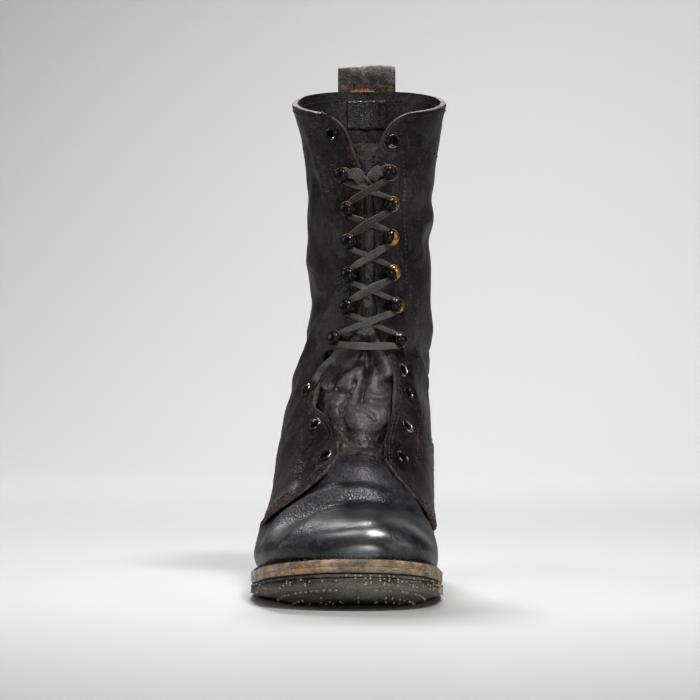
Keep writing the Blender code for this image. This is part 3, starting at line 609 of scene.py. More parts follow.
def leather(name, dark, light, roughness, grain, grain_size, specular, wrinkle=1.0):
    """Worn smooth leather. Its paint gives raw edge, scuffing (which on fold ridges and streaks is also a
    painted highlight and sheen), brown tint and polish.
    """
    s = Shade(name)
    edge, scuff_and_highlight, brown, polish = s.paint()
    cloud = s.noise(28, 5, 0.62)
    patch = s.noise(70, 4, 0.6, distortion=0.6)
    fine = s.noise(900, 3, 0.6)
    mottle = s.noise(240, 5, 0.75)
    pebble = s.cells(1000 / grain_size, "SMOOTH_F1")
    pore = s.cells(1000 / (0.45 * grain_size))
    colour = s.mix(s.span(cloud, 0.35, 0.68), dark, light)
    colour = s.mix(s.times(s.span(patch, 0.50, 0.72), 0.5), colour, rgb(0.050, 0.036, 0.040))
    colour = s.mix(s.span(mottle, 0.50, 0.66, 0.0, 0.55), colour, lit(light, 2.4))
    colour = s.mix(s.span(mottle, 0.48, 0.36, 0.0, 0.6), colour, dark)
    browned = s.times(brown, s.span(s.noise(180, 4, 0.7), 0.35, 0.65, 0.25, 1.0))
    colour = s.mix(browned, colour, rgb(0.13, 0.065, 0.040))
    # grey where scuffed; where meshes paint fold crests, ridges and streaks, this grey is also a painted
    # highlight and sheen
    worn = s.times(scuff_and_highlight, s.span(s.noise(420, 5, 0.75, distortion=0.5), 0.36, 0.62, 0.15, 1.0), True)
    flecks = s.times(s.span(s.noise(600, 4, 0.8), 0.66, 0.74), s.span(cloud, 0.45, 0.6, 0.05, 0.5))
    worn = s.math("MAXIMUM", worn, flecks)
    colour = s.mix(worn, colour, rgb(0.16, 0.16, 0.17))
    raw = s.mix(s.span(s.noise(350, 4, 0.7), 0.35, 0.65), rgb(0.040, 0.033, 0.029), rgb(0.24, 0.20, 0.165))
    colour = s.mix(edge, colour, raw)
    rough = s.span(cloud, 0.3, 0.7, roughness - 0.07, roughness + 0.09)
    rough = s.plus(rough, s.times(worn, 0.22))
    rough = s.plus(rough, s.times(edge, 0.35))
    rough = s.math("SUBTRACT", rough, s.times(polish, 0.06), True)
    rough = s.plus(rough, s.times(edge, 0.6), True)
    fold = s.bump(s.noise(170, 4, 0.65, distortion=0.6), 0.0008 * wrinkle, 0.6)
    tops = s.bump(pebble, 0.00032 * grain, s.math("SUBTRACT", 0.75, s.times(polish, 0.65), True), fold)
    hairs = s.bump(s.plus(pore, fine), 0.00008 * grain, 0.5, tops)
    return s.set(colour=colour, roughness=rough, normal=hairs, specular=specular,
                 coat=s.times(polish, 0.95), coat_roughness=0.33, coat_ior=2.3)


BLACK = leather("black_leather", rgb(0.0105, 0.0085, 0.0097), rgb(0.047, 0.038, 0.043), 0.42, 1.3, 1.1, 0.60)
VAMP = leather("vamp_leather", rgb(0.013, 0.012, 0.014), rgb(0.050, 0.047, 0.053), 0.40, 1.0, 1.1, 0.85)
# the tongue's leather is set lighter than the rest: partly its own greyer tone, partly painted light for the
# light it lacks inside the throat
TONGUE = leather(
    "tongue_leather", rgb(0.028, 0.025, 0.026), rgb(0.105, 0.096, 0.094), 0.38, 1.3, 0.9, 0.90, 2.2
)
LINING = leather("lining_leather", rgb(0.015, 0.013, 0.015), rgb(0.045, 0.039, 0.044), 0.28, 1.5, 1.0, 0.90)
LOOP = leather("loop_leather", rgb(0.11, 0.100, 0.094), rgb(0.31, 0.285, 0.27), 0.58, 1.8, 0.8, 0.50, 1.8)


def thread(name, colour):
    s = Shade(name)
    twist = s.noise(2500, 3, 0.6)
    colour = s.mix(s.span(twist, 0.3, 0.7), colour, lit(colour, 0.45))
    return s.set(colour=colour, roughness=0.75, normal=s.bump(twist, 0.0001, 0.8), sheen=0.15)


DARK_THREAD = thread("dark_thread", rgb(0.13, 0.115, 0.10))
SOLE_THREAD = thread("sole_thread", rgb(0.80, 0.74, 0.58))
LIGHT_THREAD = thread("light_thread", rgb(0.24, 0.21, 0.18))


def cloth():
    """Flat woven cotton: its paint gives the place along and across the lace, in mm, and its fade."""
    s = Shade("lace_cotton")
    along, across, fade, _ = s.paint()
    slant = s.plus(s.times(along, 5.2), s.times(s.math("ABSOLUTE", across), 4.4))
    twill = s.math("SINE", slant)
    cross = s.math("SINE", s.times(across, 12.0))
    weave = s.plus(s.times(twill, 0.7), s.times(cross, 0.45))
    colour = s.mix(s.span(weave, -0.9, 0.9), rgb(0.026, 0.022, 0.020), rgb(0.165, 0.145, 0.13))
    colour = s.mix(s.span(s.noise(220, 4, 0.6), 0.42, 0.66, 0.0, 0.7), colour, rgb(0.060, 0.050, 0.045))
    colour = s.mix(fade, colour, rgb(0.38, 0.345, 0.315))
    fuzz = s.noise(3000, 4, 0.7)
    return s.set(
        colour=colour, roughness=0.9, sheen=0.25, sheen_roughness=0.5,
        normal=s.bump(s.plus(weave, s.times(fuzz, 0.9)), 0.00016, 0.9),
    )


COTTON = cloth()


def enamel():
    """Black enamel on brass: paint gives where it is worn to brass and where to grey metal."""
    s = Shade("hook_enamel")
    brass, steel, *_ = s.paint()
    chip = s.noise(900, 5, 0.7, distortion=0.4)
    brass = s.times(s.span(s.plus(brass, s.times(chip, 0.9)), 0.88, 1.0), 1.0, True)
    steel = s.times(s.span(s.plus(steel, s.times(chip, 0.9)), 0.9, 1.05), 1.0, True)
    colour = s.mix(s.span(s.noise(300, 4, 0.6), 0.4, 0.6), rgb(0.012, 0.012, 0.013), rgb(0.024, 0.022, 0.023))
    colour = s.mix(steel, colour, rgb(0.30, 0.29, 0.27))
    colour = s.mix(brass, colour, s.mix(chip, rgb(0.50, 0.24, 0.06), rgb(0.72, 0.46, 0.20)))
    metal = s.math("MAXIMUM", brass, steel)
    rough = s.plus(s.span(s.noise(700, 3, 0.6), 0.3, 0.7, 0.20, 0.38), s.times(metal, 0.08))
    return s.set(
        colour=colour, metallic=s.times(metal, 0.9), roughness=rough,
        normal=s.bump(s.noise(500, 3, 0.5), 0.00002, 0.3),
    )


ENAMEL = enamel()


def eyelet_metal():
    """Black enamel worn to bright metal, painted brighter on one side as a painted highlight: paint gives how
    bright, and how much of it is brass.
    """
    s = Shade("eyelet_metal")
    bright, brass, *_ = s.paint()
    chip = s.noise(1100, 5, 0.75, distortion=0.5)
    worn = s.times(s.span(s.plus(bright, s.times(chip, 0.8)), 0.85, 1.0), 1.0, True)
    colour = s.mix(worn, rgb(0.016, 0.015, 0.015), s.mix(brass, rgb(0.60, 0.58, 0.54), rgb(0.62, 0.42, 0.20)))
    return s.set(
        colour=colour, metallic=s.times(worn, 0.95),
        roughness=s.span(s.noise(800, 3, 0.6), 0.3, 0.7, 0.22, 0.42),
        normal=s.bump(chip, 0.00012, 0.6),
    )


EYELET = eyelet_metal()


def stack(name, dark, light, roughness, fleck):
    """Worn sole edges: paint gives raw tan, dust (on the underside also a painted bounce light), red brown and
    a groove's shade.
    """
    s = Shade(name)
    tan, dust_and_bounce_light, red, shade = s.paint()
    cloud = s.noise(60, 6, 0.7)
    streak = s.noise(1.0, 6, 0.7, place=s.stretched((150, 150, 1400)))
    speck = s.noise(1300, 4, 0.8)
    colour = s.mix(s.span(cloud, 0.38, 0.62), dark, light)
    colour = s.mix(s.span(streak, 0.50, 0.72, 0.0, 0.55), colour, lit(light, 2.6))
    bare = s.times(tan, s.span(s.noise(240, 5, 0.7), 0.30, 0.60), True)
    colour = s.mix(bare, colour, s.mix(streak, rgb(0.42, 0.23, 0.10), rgb(0.85, 0.60, 0.34)))
    colour = s.mix(s.times(red, 0.8), colour, rgb(0.16, 0.045, 0.022))
    dots = s.times(s.span(s.cells(620), 0.20, 0.10), s.span(s.noise(90, 3, 0.6), 0.42, 0.60))
    colour = s.mix(s.times(dots, fleck), colour, rgb(0.62, 0.57, 0.46))
    colour = s.mix(s.times(dust_and_bounce_light, s.span(speck, 0.35, 0.65, 0.2, 1.0)), colour, rgb(0.47, 0.43, 0.375))
    colour = s.mix(s.times(shade, 0.85), colour, rgb(0.006, 0.006, 0.006))
    rough = s.span(cloud, 0.35, 0.65, roughness - 0.08, roughness + 0.1)
    base = s.bump(streak, 0.0004, 0.6)
    fine = s.bump(s.plus(speck, s.noise(420, 5, 0.75)), 0.00030, 0.7, base)
    return s.set(colour=colour, roughness=rough, normal=fine, specular=0.35)


RUBBER = stack("sole_rubber", rgb(0.032, 0.032, 0.031), rgb(0.150, 0.145, 0.138), 0.60, fleck=1.0)
WELT = stack("welt_leather", rgb(0.145, 0.104, 0.072), rgb(0.62, 0.46, 0.33), 0.44, fleck=0.35)
LIFTS = stack("heel_leather", rgb(0.020, 0.018, 0.016), rgb(0.075, 0.064, 0.052), 0.50, fleck=0.3)
CAP = stack("heel_rubber", rgb(0.016, 0.016, 0.016), rgb(0.055, 0.052, 0.050), 0.72, fleck=0.5)


def insole_leather():
    s = Shade("insole_leather")
    cloud = s.noise(45, 5, 0.65)
    colour = s.mix(s.span(cloud, 0.35, 0.65), rgb(0.045, 0.028, 0.018), rgb(0.16, 0.10, 0.06))
    return s.set(colour=colour, roughness=0.7, normal=s.bump(s.noise(700, 4, 0.7), 0.0002, 0.6))


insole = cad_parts["insole"]
insole.data.materials.clear()
insole.data.materials.append(insole_leather())


# Stitches


STITCH_SIDES = 6
# places along a stitch as shares of its length, with its thickness and rise there as shares of its radius
STITCH_PLACES = np.array((-0.5, -0.36, 0.0, 0.36, 0.5))
STITCH_THICKNESS = np.array((0.25, 0.85, 1.0, 0.85, 0.25))
STITCH_RISE = np.array((-1.4, -0.2, 0.45, -0.2, -1.4))
STITCH_ENDS = np.array([[0, 1, 2, 3], [0, 3, 4, 5], [27, 26, 25, 24], [29, 28, 27, 24]])


def stitch_row(path, out, pitch=0.0033, length=0.0023, radius=0.00030, lift=0.00016, skip=0.0, seed=0):
    """Points and faces of separate thread stitches along a line that lies on the leather."""
    along = travel(path)
    rng = np.random.RandomState(seed)
    at = np.arange(pitch / 2, along[-1], pitch)
    at = at[rng.uniform(size=len(at)) >= skip]
    at = at + rng.normal(size=len(at)) * pitch * 0.05
    near = 0.0005
    middle = read_along(at, along, path)
    out = unit(read_along(at, along, np.broadcast_to(out, path.shape)))
    run = unit(read_along(at + near, along, path) - read_along(at - near, along, path))
    run = unit(run - out * np.sum(run * out, -1, keepdims=True))
    aside = np.cross(run, out)
    turn = rng.normal(size=len(at))[:, None] * 0.08
    run = run * np.cos(turn) + aside * np.sin(turn)
    thickness = STITCH_THICKNESS * radius
    rise = STITCH_RISE * radius + lift
    angles = np.linspace(0, 2 * math.pi, STITCH_SIDES, endpoint=False)
    points = (
        middle[:, None, None] + run[:, None, None] * (STITCH_PLACES * length)[:, None, None]
        + aside[:, None, None] * (thickness[:, None] * np.cos(angles))[..., None]
        + out[:, None, None] * (rise[:, None] + thickness[:, None] * np.sin(angles))[..., None]
    )
    one = np.concatenate([grid_faces(len(STITCH_PLACES), STITCH_SIDES, wrap=True), STITCH_ENDS])
    base = len(STITCH_PLACES) * STITCH_SIDES * np.arange(len(at))
    return points.reshape(-1, 3), (one + base[:, None, None]).reshape(-1, 4)


# Ribbons, for the lace and its ends


def ribbon(path, normals, width, thickness, seed):
    """A flat woven band along a path. Its paint is the place along and across it, and its fade."""
    run = unit(np.gradient(path, axis=0))
    out = unit(normals - run * np.sum(normals * run, -1, keepdims=True))
    aside = np.cross(run, out)
    along = travel(path)
    angles = np.linspace(0, 2 * math.pi, 16, endpoint=False)
    across = np.sign(np.cos(angles)) * np.abs(np.cos(angles)) ** 0.75
    lift = np.sign(np.sin(angles)) * np.abs(np.sin(angles)) ** 0.55
    wave = 1 + 0.05 * np.sin(along / 0.0021 + seed) + 0.03 * np.sin(along / 0.0009 + 2 * seed)
    half = (width * wave / 2)[:, None]
    thick = (np.broadcast_to(thickness, along.shape) / 2)[:, None]
    cup = 0.18 * np.sin(along / 0.006 + seed)[:, None] * (across**2 - 0.5) * thick
    rings = path[:, None] + aside[:, None] * (half * across)[..., None]
    rings = rings + out[:, None] * (thick * lift + cup)[..., None]
    paint = np.zeros((*rings.shape[:2], 4))
    paint[..., 0] = along[:, None] / MM
    paint[..., 1] = half * across / MM
    paint[..., 2] = 0.10 + 0.22 * np.clip(ripple(rings, 0.014, seed), 0, 1) + 0.25 * np.abs(across) ** 6
    count, base = len(angles), rings[..., 0].size
    j = np.arange(count)
    k = (j + 1) % count
    start = np.stack([np.full(count, base), j, k, k], -1)
    end = np.stack([np.full(count, base + 1), base - count + k, base - count + j, base - count + j], -1)
    points = np.concatenate([rings.reshape(-1, 3), rings[[0, -1]].mean(1)])
    faces = np.concatenate([grid_faces(len(path), count, wrap=True), start, end])
    return points, faces, np.concatenate([paint.reshape(-1, 4), paint[[0, -1], 0]])


def around_hook(count, side, angles, radius, lift):
    at, axes = fastener(HOOKS, count, side)
    a = np.radians(np.asarray(angles, float))
    return at + radius * (np.cos(a)[:, None] * axes[0] + np.sin(a)[:, None] * axes[1]) + lift * axes[2]


LACE_LIFT = GAP + HOOK_BASE_WALL + GAP + LACE_RADIUS
LACE_TURN = (HOOK_NECK_RADIUS + GAP + LACE_RADIUS) / math.cos(math.radians(25))
LACE_ARRIVES = -70
ROUND_HOOK = (LACE_ARRIVES, -35, 0, 35, 80)
ROUND_TOP_HOOK = (LACE_ARRIVES, -35, 0, 35, 60)
LACE_STEP = 0.0007
TOP_HOOK = len(HOOKS) - 1


def lace_strand(side):
    """Half of the lace from one lowest hook to a top hook: points, normals and widths in mm."""
    points, normals, widths = [], [], []
    for count in range(len(HOOKS)):
        out = fastener(HOOKS, count, side)[1][2]
        angles = ROUND_HOOK if count < TOP_HOOK else ROUND_TOP_HOOK
        points.extend(around_hook(count, side, angles, LACE_TURN, LACE_LIFT))
        normals.extend([out] * len(angles))
        widths.extend([2.3] * len(angles))
        if count == TOP_HOOK:
            break
        start = points[-1]
        end = around_hook(count + 1, -side, (LACE_ARRIVES,), LACE_TURN, LACE_LIFT)[0]
        over = side < 0
        shares = np.array((0.12, 0.25, 0.38, 0.5, 0.62, 0.75, 0.88))
        way = start + (end - start) * shares[:, None]
        hump = np.sin(math.pi * shares)
        lift = LACE_LIFT + hump * (0.00135 if over else 0.0001)
        points.extend(front_at(way[:, 0], way[:, 2], -QUARTER_STEP - LACE_SPRING - lift))
        rng = np.random.RandomState(count * 7 + (3 if over else 5))
        plain, wider, uneven = (2.9, 1.9, 0.9) if over else (2.6, 1.1, 1.1)
        widths.extend(plain + (wider + uneven * rng.uniform()) * hump)
        tilt = rng.uniform(0.15, 0.65) * (1 if rng.uniform() < 0.5 else -1)
        next_out = fastener(HOOKS, count + 1, -side)[1][2]
        for share in shares:
            lean = np.array([0.0, 0.0, 1.0]) * tilt * math.sin(math.pi * share)
            normals.append(unit(out * (1 - share) + next_out * share + lean))
        side = -side
    return np.array(points), np.array(normals), np.array(widths)


def resampled(points, normals, widths):
    """A smooth curve through the points at even steps, with its normals and widths."""
    knots = travel(points)
    at = np.linspace(0, knots[-1], int(knots[-1] / LACE_STEP) + 1)
    curve = np.stack([smooth(knots, points[:, c], at) for c in range(3)], -1)
    return curve, unit(read_along(at, knots, normals)), np.interp(at, knots, widths)


def make_lace():
    left, right = lace_strand(-1), lace_strand(1)
    shares = np.linspace(0.1, 0.9, 9)
    start, end = left[0][0], right[0][0]
    way = start + (end - start) * shares[:, None]
    way[:, 2] -= 0.0010 * np.sin(math.pi * shares)
    bar = front_at(way[:, 0], way[:, 2], -QUARTER_STEP - LACE_SPRING - LACE_LIFT)
    turned_up = np.array([0, 0, 0.12])
    bar_out = np.array([unit(left[1][0] * (1 - s) + right[1][0] * s + turned_up) for s in shares])
    points = np.concatenate([left[0][::-1], bar, right[0]])
    normals = np.concatenate([left[1][::-1], bar_out, right[1]])
    widths = np.concatenate([left[2][::-1], 3.4 + 1.7 * np.sin(math.pi * shares) ** 0.6, right[2]])
    path, out, width = resampled(points, unit(normals), widths)
    points, faces, paint = ribbon(path, out, width * MM, np.interp(width, (2.3, 4.5), (1.9, 1.05)) * MM, 4)
    add_piece("lace_crossings", points, faces, COTTON, ["lace"], paint)


def make_lace_ends():
    """The two loose ends, which turn in from the top hooks and are tucked down between the facings."""
    beside = LACE_RADIUS + GAP / 2
    on_tongue = UPPER_WALL + TONGUE_GAP - LACE_RADIUS - GAP
    over_facing = -QUARTER_STEP - LACE_SPRING - LACE_RADIUS
    for side, name in SIDES:
        turn = around_hook(TOP_HOOK, side, (82, 125, 165), LACE_TURN, LACE_LIFT)
        out = fastener(HOOKS, TOP_HOOK, side)[1][2]
        top = turn[-1][2]
        heights = top - LACE_END_DROP * np.array((0.38, 0.52, 0.68, 0.84, 1.0))
        points = np.concatenate([
            turn,
            front_at(
                throat_centre(top) + side * (beside + np.array((0.0052, 0.0016))),
                top - np.array((0.0004, 0.0046)),
                np.array((over_facing - 0.0014, over_facing - 0.0010)),
            ),
            front_at(throat_centre(heights) + side * beside, heights, on_tongue),
        ])
        aside = unit(np.array([side * 0.75, -0.55, 0.45]))
        forward = np.array([side * 0.10, -0.88, 0.46])
        onto_throat = [out, unit(out + forward), forward, forward, unit(forward + 0.15 * aside)]
        normals = np.array(onto_throat + [aside] * 5)
        widths = np.array([2.8, 4.0, 6.2, 8.0, 6.8, 4.0, 3.8, 3.8, 3.8, 3.8])
        path, out, width = resampled(points, normals, widths)
        points, faces, paint = ribbon(path, out, width * MM, 0.0011, 11 + side)
        length = float(np.linalg.norm(np.diff(path, axis=0), axis=1).sum())
        node_name = f"lace_end_{name}"
        end = add_piece(f"{node_name}_band", points, faces, COTTON, [node_name], paint)
        tuple(path[0])
        [tuple(p) for p in path]


make_lace()
make_lace_ends()


# Turned fasteners


def turned(profile, segments, at, axes, uneven, seed):
    """A profile of (radius, height) turned about a fastener's outward axis, placed and about its own centre."""
    profile = np.asarray(profile, float)
    angle = np.linspace(0, 2 * math.pi, segments, endpoint=False)
    radius = profile[:, 0][:, None] * (1 + uneven * np.sin(3 * angle + seed)[None])
    height = np.broadcast_to(profile[:, 1][:, None], radius.shape)
    local = np.stack([radius * np.cos(angle), radius * np.sin(angle), height], -1).reshape(-1, 3)
    return at + local @ axes, grid_faces(len(profile), segments, wrap=True), local


HOOK_RADIUS = 0.0049
HOOK_NECK_TOP = HOOK_BASE_WALL + GAP + 2 * LACE_RADIUS + LACE_SPRING
HOOK_DOME = [
    (0.0044 * math.cos(a) ** 0.85, HOOK_NECK_TOP + 0.0008 + 0.0027 * math.sin(a) ** 1.05)
    for a in np.linspace(0.02, math.pi / 2, 12)
]
# radius and height from the leather up: the base, the neck, and the head's rim
HOOK_PROFILE = [
    (0.0, 0.0), (0.0030, 0.0), (0.0034, 0.0002), (0.0034, 0.0006), (0.0031, 0.0009), (0.0018, 0.0011),
    (0.0015, 0.0016), (0.0015, HOOK_NECK_TOP - 0.0004), (0.0024, HOOK_NECK_TOP - 0.0001),
    (0.0042, HOOK_NECK_TOP - 0.0001), (0.0048, HOOK_NECK_TOP + 0.0001), (0.0049, HOOK_NECK_TOP + 0.0005),
    (0.0047, HOOK_NECK_TOP + 0.0008), (0.0045, HOOK_NECK_TOP + 0.0007), *HOOK_DOME,
]
# how far dome and rim are worn to brass and the dome to grey metal, from the lowest hook up
HOOK_WEAR = {
    -1: (
        (0.2, 0.45, 0.3), (0.1, 0.3, 0.42), (0.1, 0.5, 0.1),
        (0.2, 0.6, 0.2), (0.15, 0.6, 0.2), (0.1, 0.4, 0.2),
    ),
    1: (
        (0.2, 0.5, 0.62), (0.55, 0.8, 0.60), (0.8, 0.9, 0.35),
        (0.75, 0.8, 0.35), (0.5, 0.9, 0.4), (0.35, 0.75, 0.4),
    ),
}
WEAR_LEANS_UP = (0.0, -0.1, 0.35, -0.25, 0.1, 0.1)


def make_hooks():
    profile = [(radius, height + GAP) for radius, height in HOOK_PROFILE]
    for side, name in SIDES:
        for count, (dome_brass, rim_brass, steel) in enumerate(HOOK_WEAR[side]):
            place = fastener(HOOKS, count, side)
            points, faces, local = turned(profile, 28, *place, 0.015, count + side)
            high = (local[:, 2] - HOOK_NECK_TOP) / 0.0033
            away, upward = local[:, 0] / HOOK_RADIUS, local[:, 1] / HOOK_RADIUS
            radial = np.hypot(local[:, 0], local[:, 1]) / HOOK_RADIUS
            rim = ease((radial - 0.86) / 0.10) * ease((high + 0.05) / 0.1)
            on_dome = high > 0.05
            if side > 0:
                toward = ease((away * 0.85 + upward * WEAR_LEANS_UP[count] + 0.38) / 0.6)
            else:
                toward = ease((upward - 0.45) / 0.4)
            paint = np.zeros((len(points), 4))
            paint[:, 0] = np.clip(dome_brass * toward * on_dome + rim_brass * rim * ease(toward + 0.25), 0, 1)
            paint[:, 1] = np.clip(steel * ease((upward + 0.2 + away * 0.1) / 0.9) * on_dome, 0, 1)
            node_name = f"hook_{name}_{count + 1}"
            add_piece(f"{node_name}_dome", points, faces, ENAMEL, [node_name], paint)


EYELET_DEPTH = QUARTER_STEP + UPPER_WALL
EYELET_LIP = [
    (0.00375 + 0.00070 * math.cos(a), RIM_GAP - 0.0004 + 0.00075 * math.sin(a))
    for a in np.linspace(0.0, math.pi, 9)
]
EYELET_PROFILE = [
    (0.00445, -0.0004), *EYELET_LIP, (0.0028, -0.0008), (0.0025, -EYELET_DEPTH),
    (0.0027, -EYELET_DEPTH - 0.0002),
]
# how brightly each is worn, from the lowest up
EYELET_WEAR = {-1: (0.46, 0.60, 0.52, 0.2, 0.42), 1: (0.55, 0.70, 0.46, 0.60, 0.45)}


def make_eyelets():
    for side, name in SIDES:
        for count, bright in enumerate(EYELET_WEAR[side]):
            place = fastener(EYELETS, count, side)
            points, faces, local = turned(EYELET_PROFILE, 32, *place, 0.03, count * 2 + side)
            paint = np.zeros((len(points), 4))
            top = ease((local[:, 2] + 0.0006) / 0.0008)
            # the lip is painted brighter on one side, a painted highlight on top of the worn metal
            painted_highlight_side = 0.75 + 0.30 * local[:, 0] / 0.0044 * side
            paint[:, 0] = bright * top * painted_highlight_side + 0.22 * ripple(points, 0.005, count)
            brass = np.clip(0.3 + 0.5 * ripple(points, 0.008, 60 + count), 0, 1)
            paint[:, 1] = brass * (0.8 if side > 0 else 0.3)
            paint = np.clip(paint, 0, 1)
            node_name = f"eyelet_{name}_{count + 1}"
            add_piece(f"{node_name}_ring", points, faces, EYELET, [node_name], paint)


make_hooks()
make_eyelets()


# The upper's leather


# Creases of the toe and vamp as seen from the front, in mm, as forms takes them: across the boot and up
TOE_FORMS = (
    (-2.3, 3.2, 3.0, 0.20, (
        (-47, 26), (-42, 38.5), (-26, 49.5), (-8, 55.8), (6, 57.0), (20, 54.6), (33, 48), (40, 39),
    )),
    (0.7, 2.2, 2.4, 0.30, ((-44.0, 24), (-38.0, 35), (-25.0, 45.0), (-12, 50.5))),
    (1.3, 3.2, 3.2, 0.25, ((-50, 25.4), (-46.5, 40), (-34, 52), (-18, 59.5), (-1, 62), (14, 60.2), (26, 54))),
    (-1.7, 3.0, 2.4, 0.18, (
        (-53.4, 25.4), (-51.8, 37.4), (-44, 49), (-31, 58.5), (-15.1, 65.2), (0.6, 67), (15, 64.6), (27, 58),
    )),
    (1.0, 2.0, 2.2, 0.25, ((-56, 30), (-54, 41), (-46.5, 52.5), (-34, 61), (-20, 67.5))),
    (1.0, 3.2, 3.2, 0.3, ((17, 66), (26, 61), (33, 53), (39, 43))),
    (-0.8, 3.0, 3.0, 0.3, ((-22, 66), (-8, 68), (6, 68.5), (14, 66))),
    (0.8, 3.0, 3.0, 0.3, ((-24, 72), (-10, 74), (4, 74), (16, 72))),
    (-0.8, 2.0, 2.0, 0.3, ((33, 62), (38, 52), (42, 42))),
)


def vamp_displacement(points):
    """How far the toe and vamp stand out of the last's own skin, in metres."""
    x, z = points[..., 0] / MM, points[..., 2] / MM
    front = ease((-0.105 - points[..., 1]) / 0.02)
    creases = forms(x, z, TOE_FORMS) * front
    dome = 2.3 * bell(x, 2, 26) * bell(z, 43, 15) + 1.7 * bell(x, 13, 13) * bell(z, 42, 11)
    creases += dome * ease((-0.18 - points[..., 1]) / 0.03)
    uneven = 0.30 * ripple(points, 0.045, 3) + 0.12 * ripple(points, 0.016, 4)
    calm = 1 - 0.65 * ease((-0.205 - points[..., 1]) / 0.03)
    return (creases + uneven * calm) * MM


def skin_at(at, row, down, side):
    """Points of a skin and its outward normals."""
    here = at(row, down)
    step_up = np.where(row > LAST_ROW - 0.5, -0.01, 0.01)
    step_down = np.where(down > 0.5, -0.002, 0.002)
    up = (at(row + step_up, down) - here) * np.sign(step_up)[..., None]
    aside = (at(row, down + step_down) - here) * np.sign(step_down)[..., None]
    out = unit(np.cross(up, aside))
    deep = upper_at(row, side, down, UPPER_WALL)
    return here, out * np.sign(np.sum(out * (here - deep), -1, keepdims=True))


VAMP_END = 12.3
TUCK = 0.6


def vamp_skin(row, side, down):
    """The vamp's outer face. Past the quarters' edge it runs on flat beneath them."""
    under = (row > QUARTER_FRONT + 0.05) & (down < TUCK)
    tucked = np.where(under, 0.0004 * ease((row - QUARTER_FRONT - 0.05) / 0.3), 0.0)
    here, out = skin_at(lambda r, d: upper_at(r, side, d, tucked), row, down, side)
    free = np.where(row < QUARTER_FRONT, 1.0, 1 - ease((row - QUARTER_FRONT) / 0.6) * (down < 0.62))
    at_sole = np.where(down > 0.5, ease((1 - down) / 0.05), 1.0)
    return here + out * (vamp_displacement(here) * free * at_sole)[..., None], out


def make_vamp():
    rows = np.concatenate([
        np.linspace(0.0, 1.0, 14)[1:-1] ** 1.3, np.linspace(1.0, 7.9, 92), (7.94, 7.97, 7.99, QUARTER_FRONT),
        np.linspace(QUARTER_FRONT, VAMP_END, 34)[1:],
    ])
    rows[0] = 0.012
    downs = np.concatenate([np.linspace(-1, 0, 9)[:-1], np.linspace(0, 1, 62)])
    row = rows[:, None].repeat(len(downs), 1)
    down = downs[None].repeat(len(rows), 0)
    halves, insides = [], []
    for side in (-1, 1):
        skin, out = vamp_skin(row, side, down)
        rounded = (1 - ease((QUARTER_FRONT - row) / 0.07)) * (down < 0.02) * (row <= QUARTER_FRONT)
        halves.append(skin - out * (0.0006 * rounded)[..., None])
        insides.append(upper_at(row, side, down, UPPER_WALL))
    outer = np.concatenate([halves[0][:, ::-1], halves[1][:, 1:]], 1)
    inner = np.concatenate([insides[0][:, ::-1], insides[1][:, 1:]], 1)
    down = np.concatenate([downs[::-1], downs[1:]])[None].repeat(len(rows), 0)
    row = rows[:, None].repeat(down.shape[1], 1)
    quads = grid_faces(*outer.shape[:2])
    hidden = ((row > 9.2) & (down < 0.58)) | ((row > 8.01) & (down < 0.0))
    quads = quads[~hidden.ravel()[quads].any(1)]
    paint = np.zeros((*outer.shape[:2], 4))
    x, z = outer[..., 0] / MM, outer[..., 2] / MM
    # the crease ridges are painted lighter grey: scuffing, and along each ridge also a painted highlight
    band = forms(x, z, ((1.0, 3.0, 3.0, 0.2, TOE_FORMS[2][4]), (0.8, 3.5, 3.5, 0.2, TOE_FORMS[5][4])))
    line = forms(x, z, ((1.0, 1.6, 1.6, 0.2, TOE_FORMS[1][4]), (0.9, 1.5, 1.5, 0.2, TOE_FORMS[4][4])))
    low_left = ease((28 - z) / 8) * ease((-30 - x) / 12)
    scuff_and_highlight = 0.16 * band + 0.30 * line + 0.22 * low_left + 0.05 * ripple(outer, 0.02, 8)
    paint[..., 1] = np.clip(scuff_and_highlight, 0, 0.8)
    top_edge = (1 - ease((QUARTER_FRONT - row) / 0.045)) * (down < 0.02) * (row <= QUARTER_FRONT)
    paint[..., 0] = np.clip(top_edge, 0, 1) * 0.15
    polished = ease((-0.195 - outer[..., 1]) / 0.03) * ease((58 - z) / 6) * ease((z - 27) / 9)
    paint[..., 3] = np.clip(polished * (0.12 + 0.88 * bell(x, 8, 20)), 0, 1)
    points, faces = closed_shell(outer, inner, quads)
    add_piece("vamp", points, faces, VAMP, (), on_both(paint), flat=50)


def spaced(stops, counts):
    """Values from stop to stop, with so many in each span."""
    parts = [np.linspace(a, b, n, endpoint=False) for a, b, n in zip(stops, stops[1:], counts)]
    return np.concatenate([*parts, [stops[-1]]])


COUNTER_FRONT = 12.15
COUNTER_TOP = 15.85
SEAM_DOWN = 0.66
STAY_DOWN = 0.855


def quarter_outer_inset(row, down):
    """The overlays' steps with soft, slightly rounded edges."""
    edge_row = np.clip((row - QUARTER_FRONT) / 0.05, 0, 1)
    edge_down = np.clip(down / 0.012, 0, 1)
    edge_top = np.clip((LAST_ROW - row) / 0.05, 0, 1)
    rounded = np.minimum(np.minimum(edge_row, edge_down), edge_top)
    base = -QUARTER_STEP + 0.0007 * (1 - rounded) ** 2
    seam = ease((down - SEAM_DOWN) / 0.008)
    counter_row = ease((row - COUNTER_FRONT) / 0.05)
    counter_top = ease((COUNTER_TOP + 0.06 - row) / 0.06)
    low = np.where(row < COUNTER_TOP + 0.06, seam, 0.0)
    below = -COUNTER_STEP * counter_row * counter_top
    below = below - QUARTER_STEP * (1 - counter_top) * (row > COUNTER_FRONT + 1)
    stay = ease((down - STAY_DOWN + 0.012) / 0.010) * ease((row - COUNTER_TOP + 0.1) / 0.1)
    return (base * (1 - low) + below * low) * (1 - stay) - COUNTER_STEP * stay


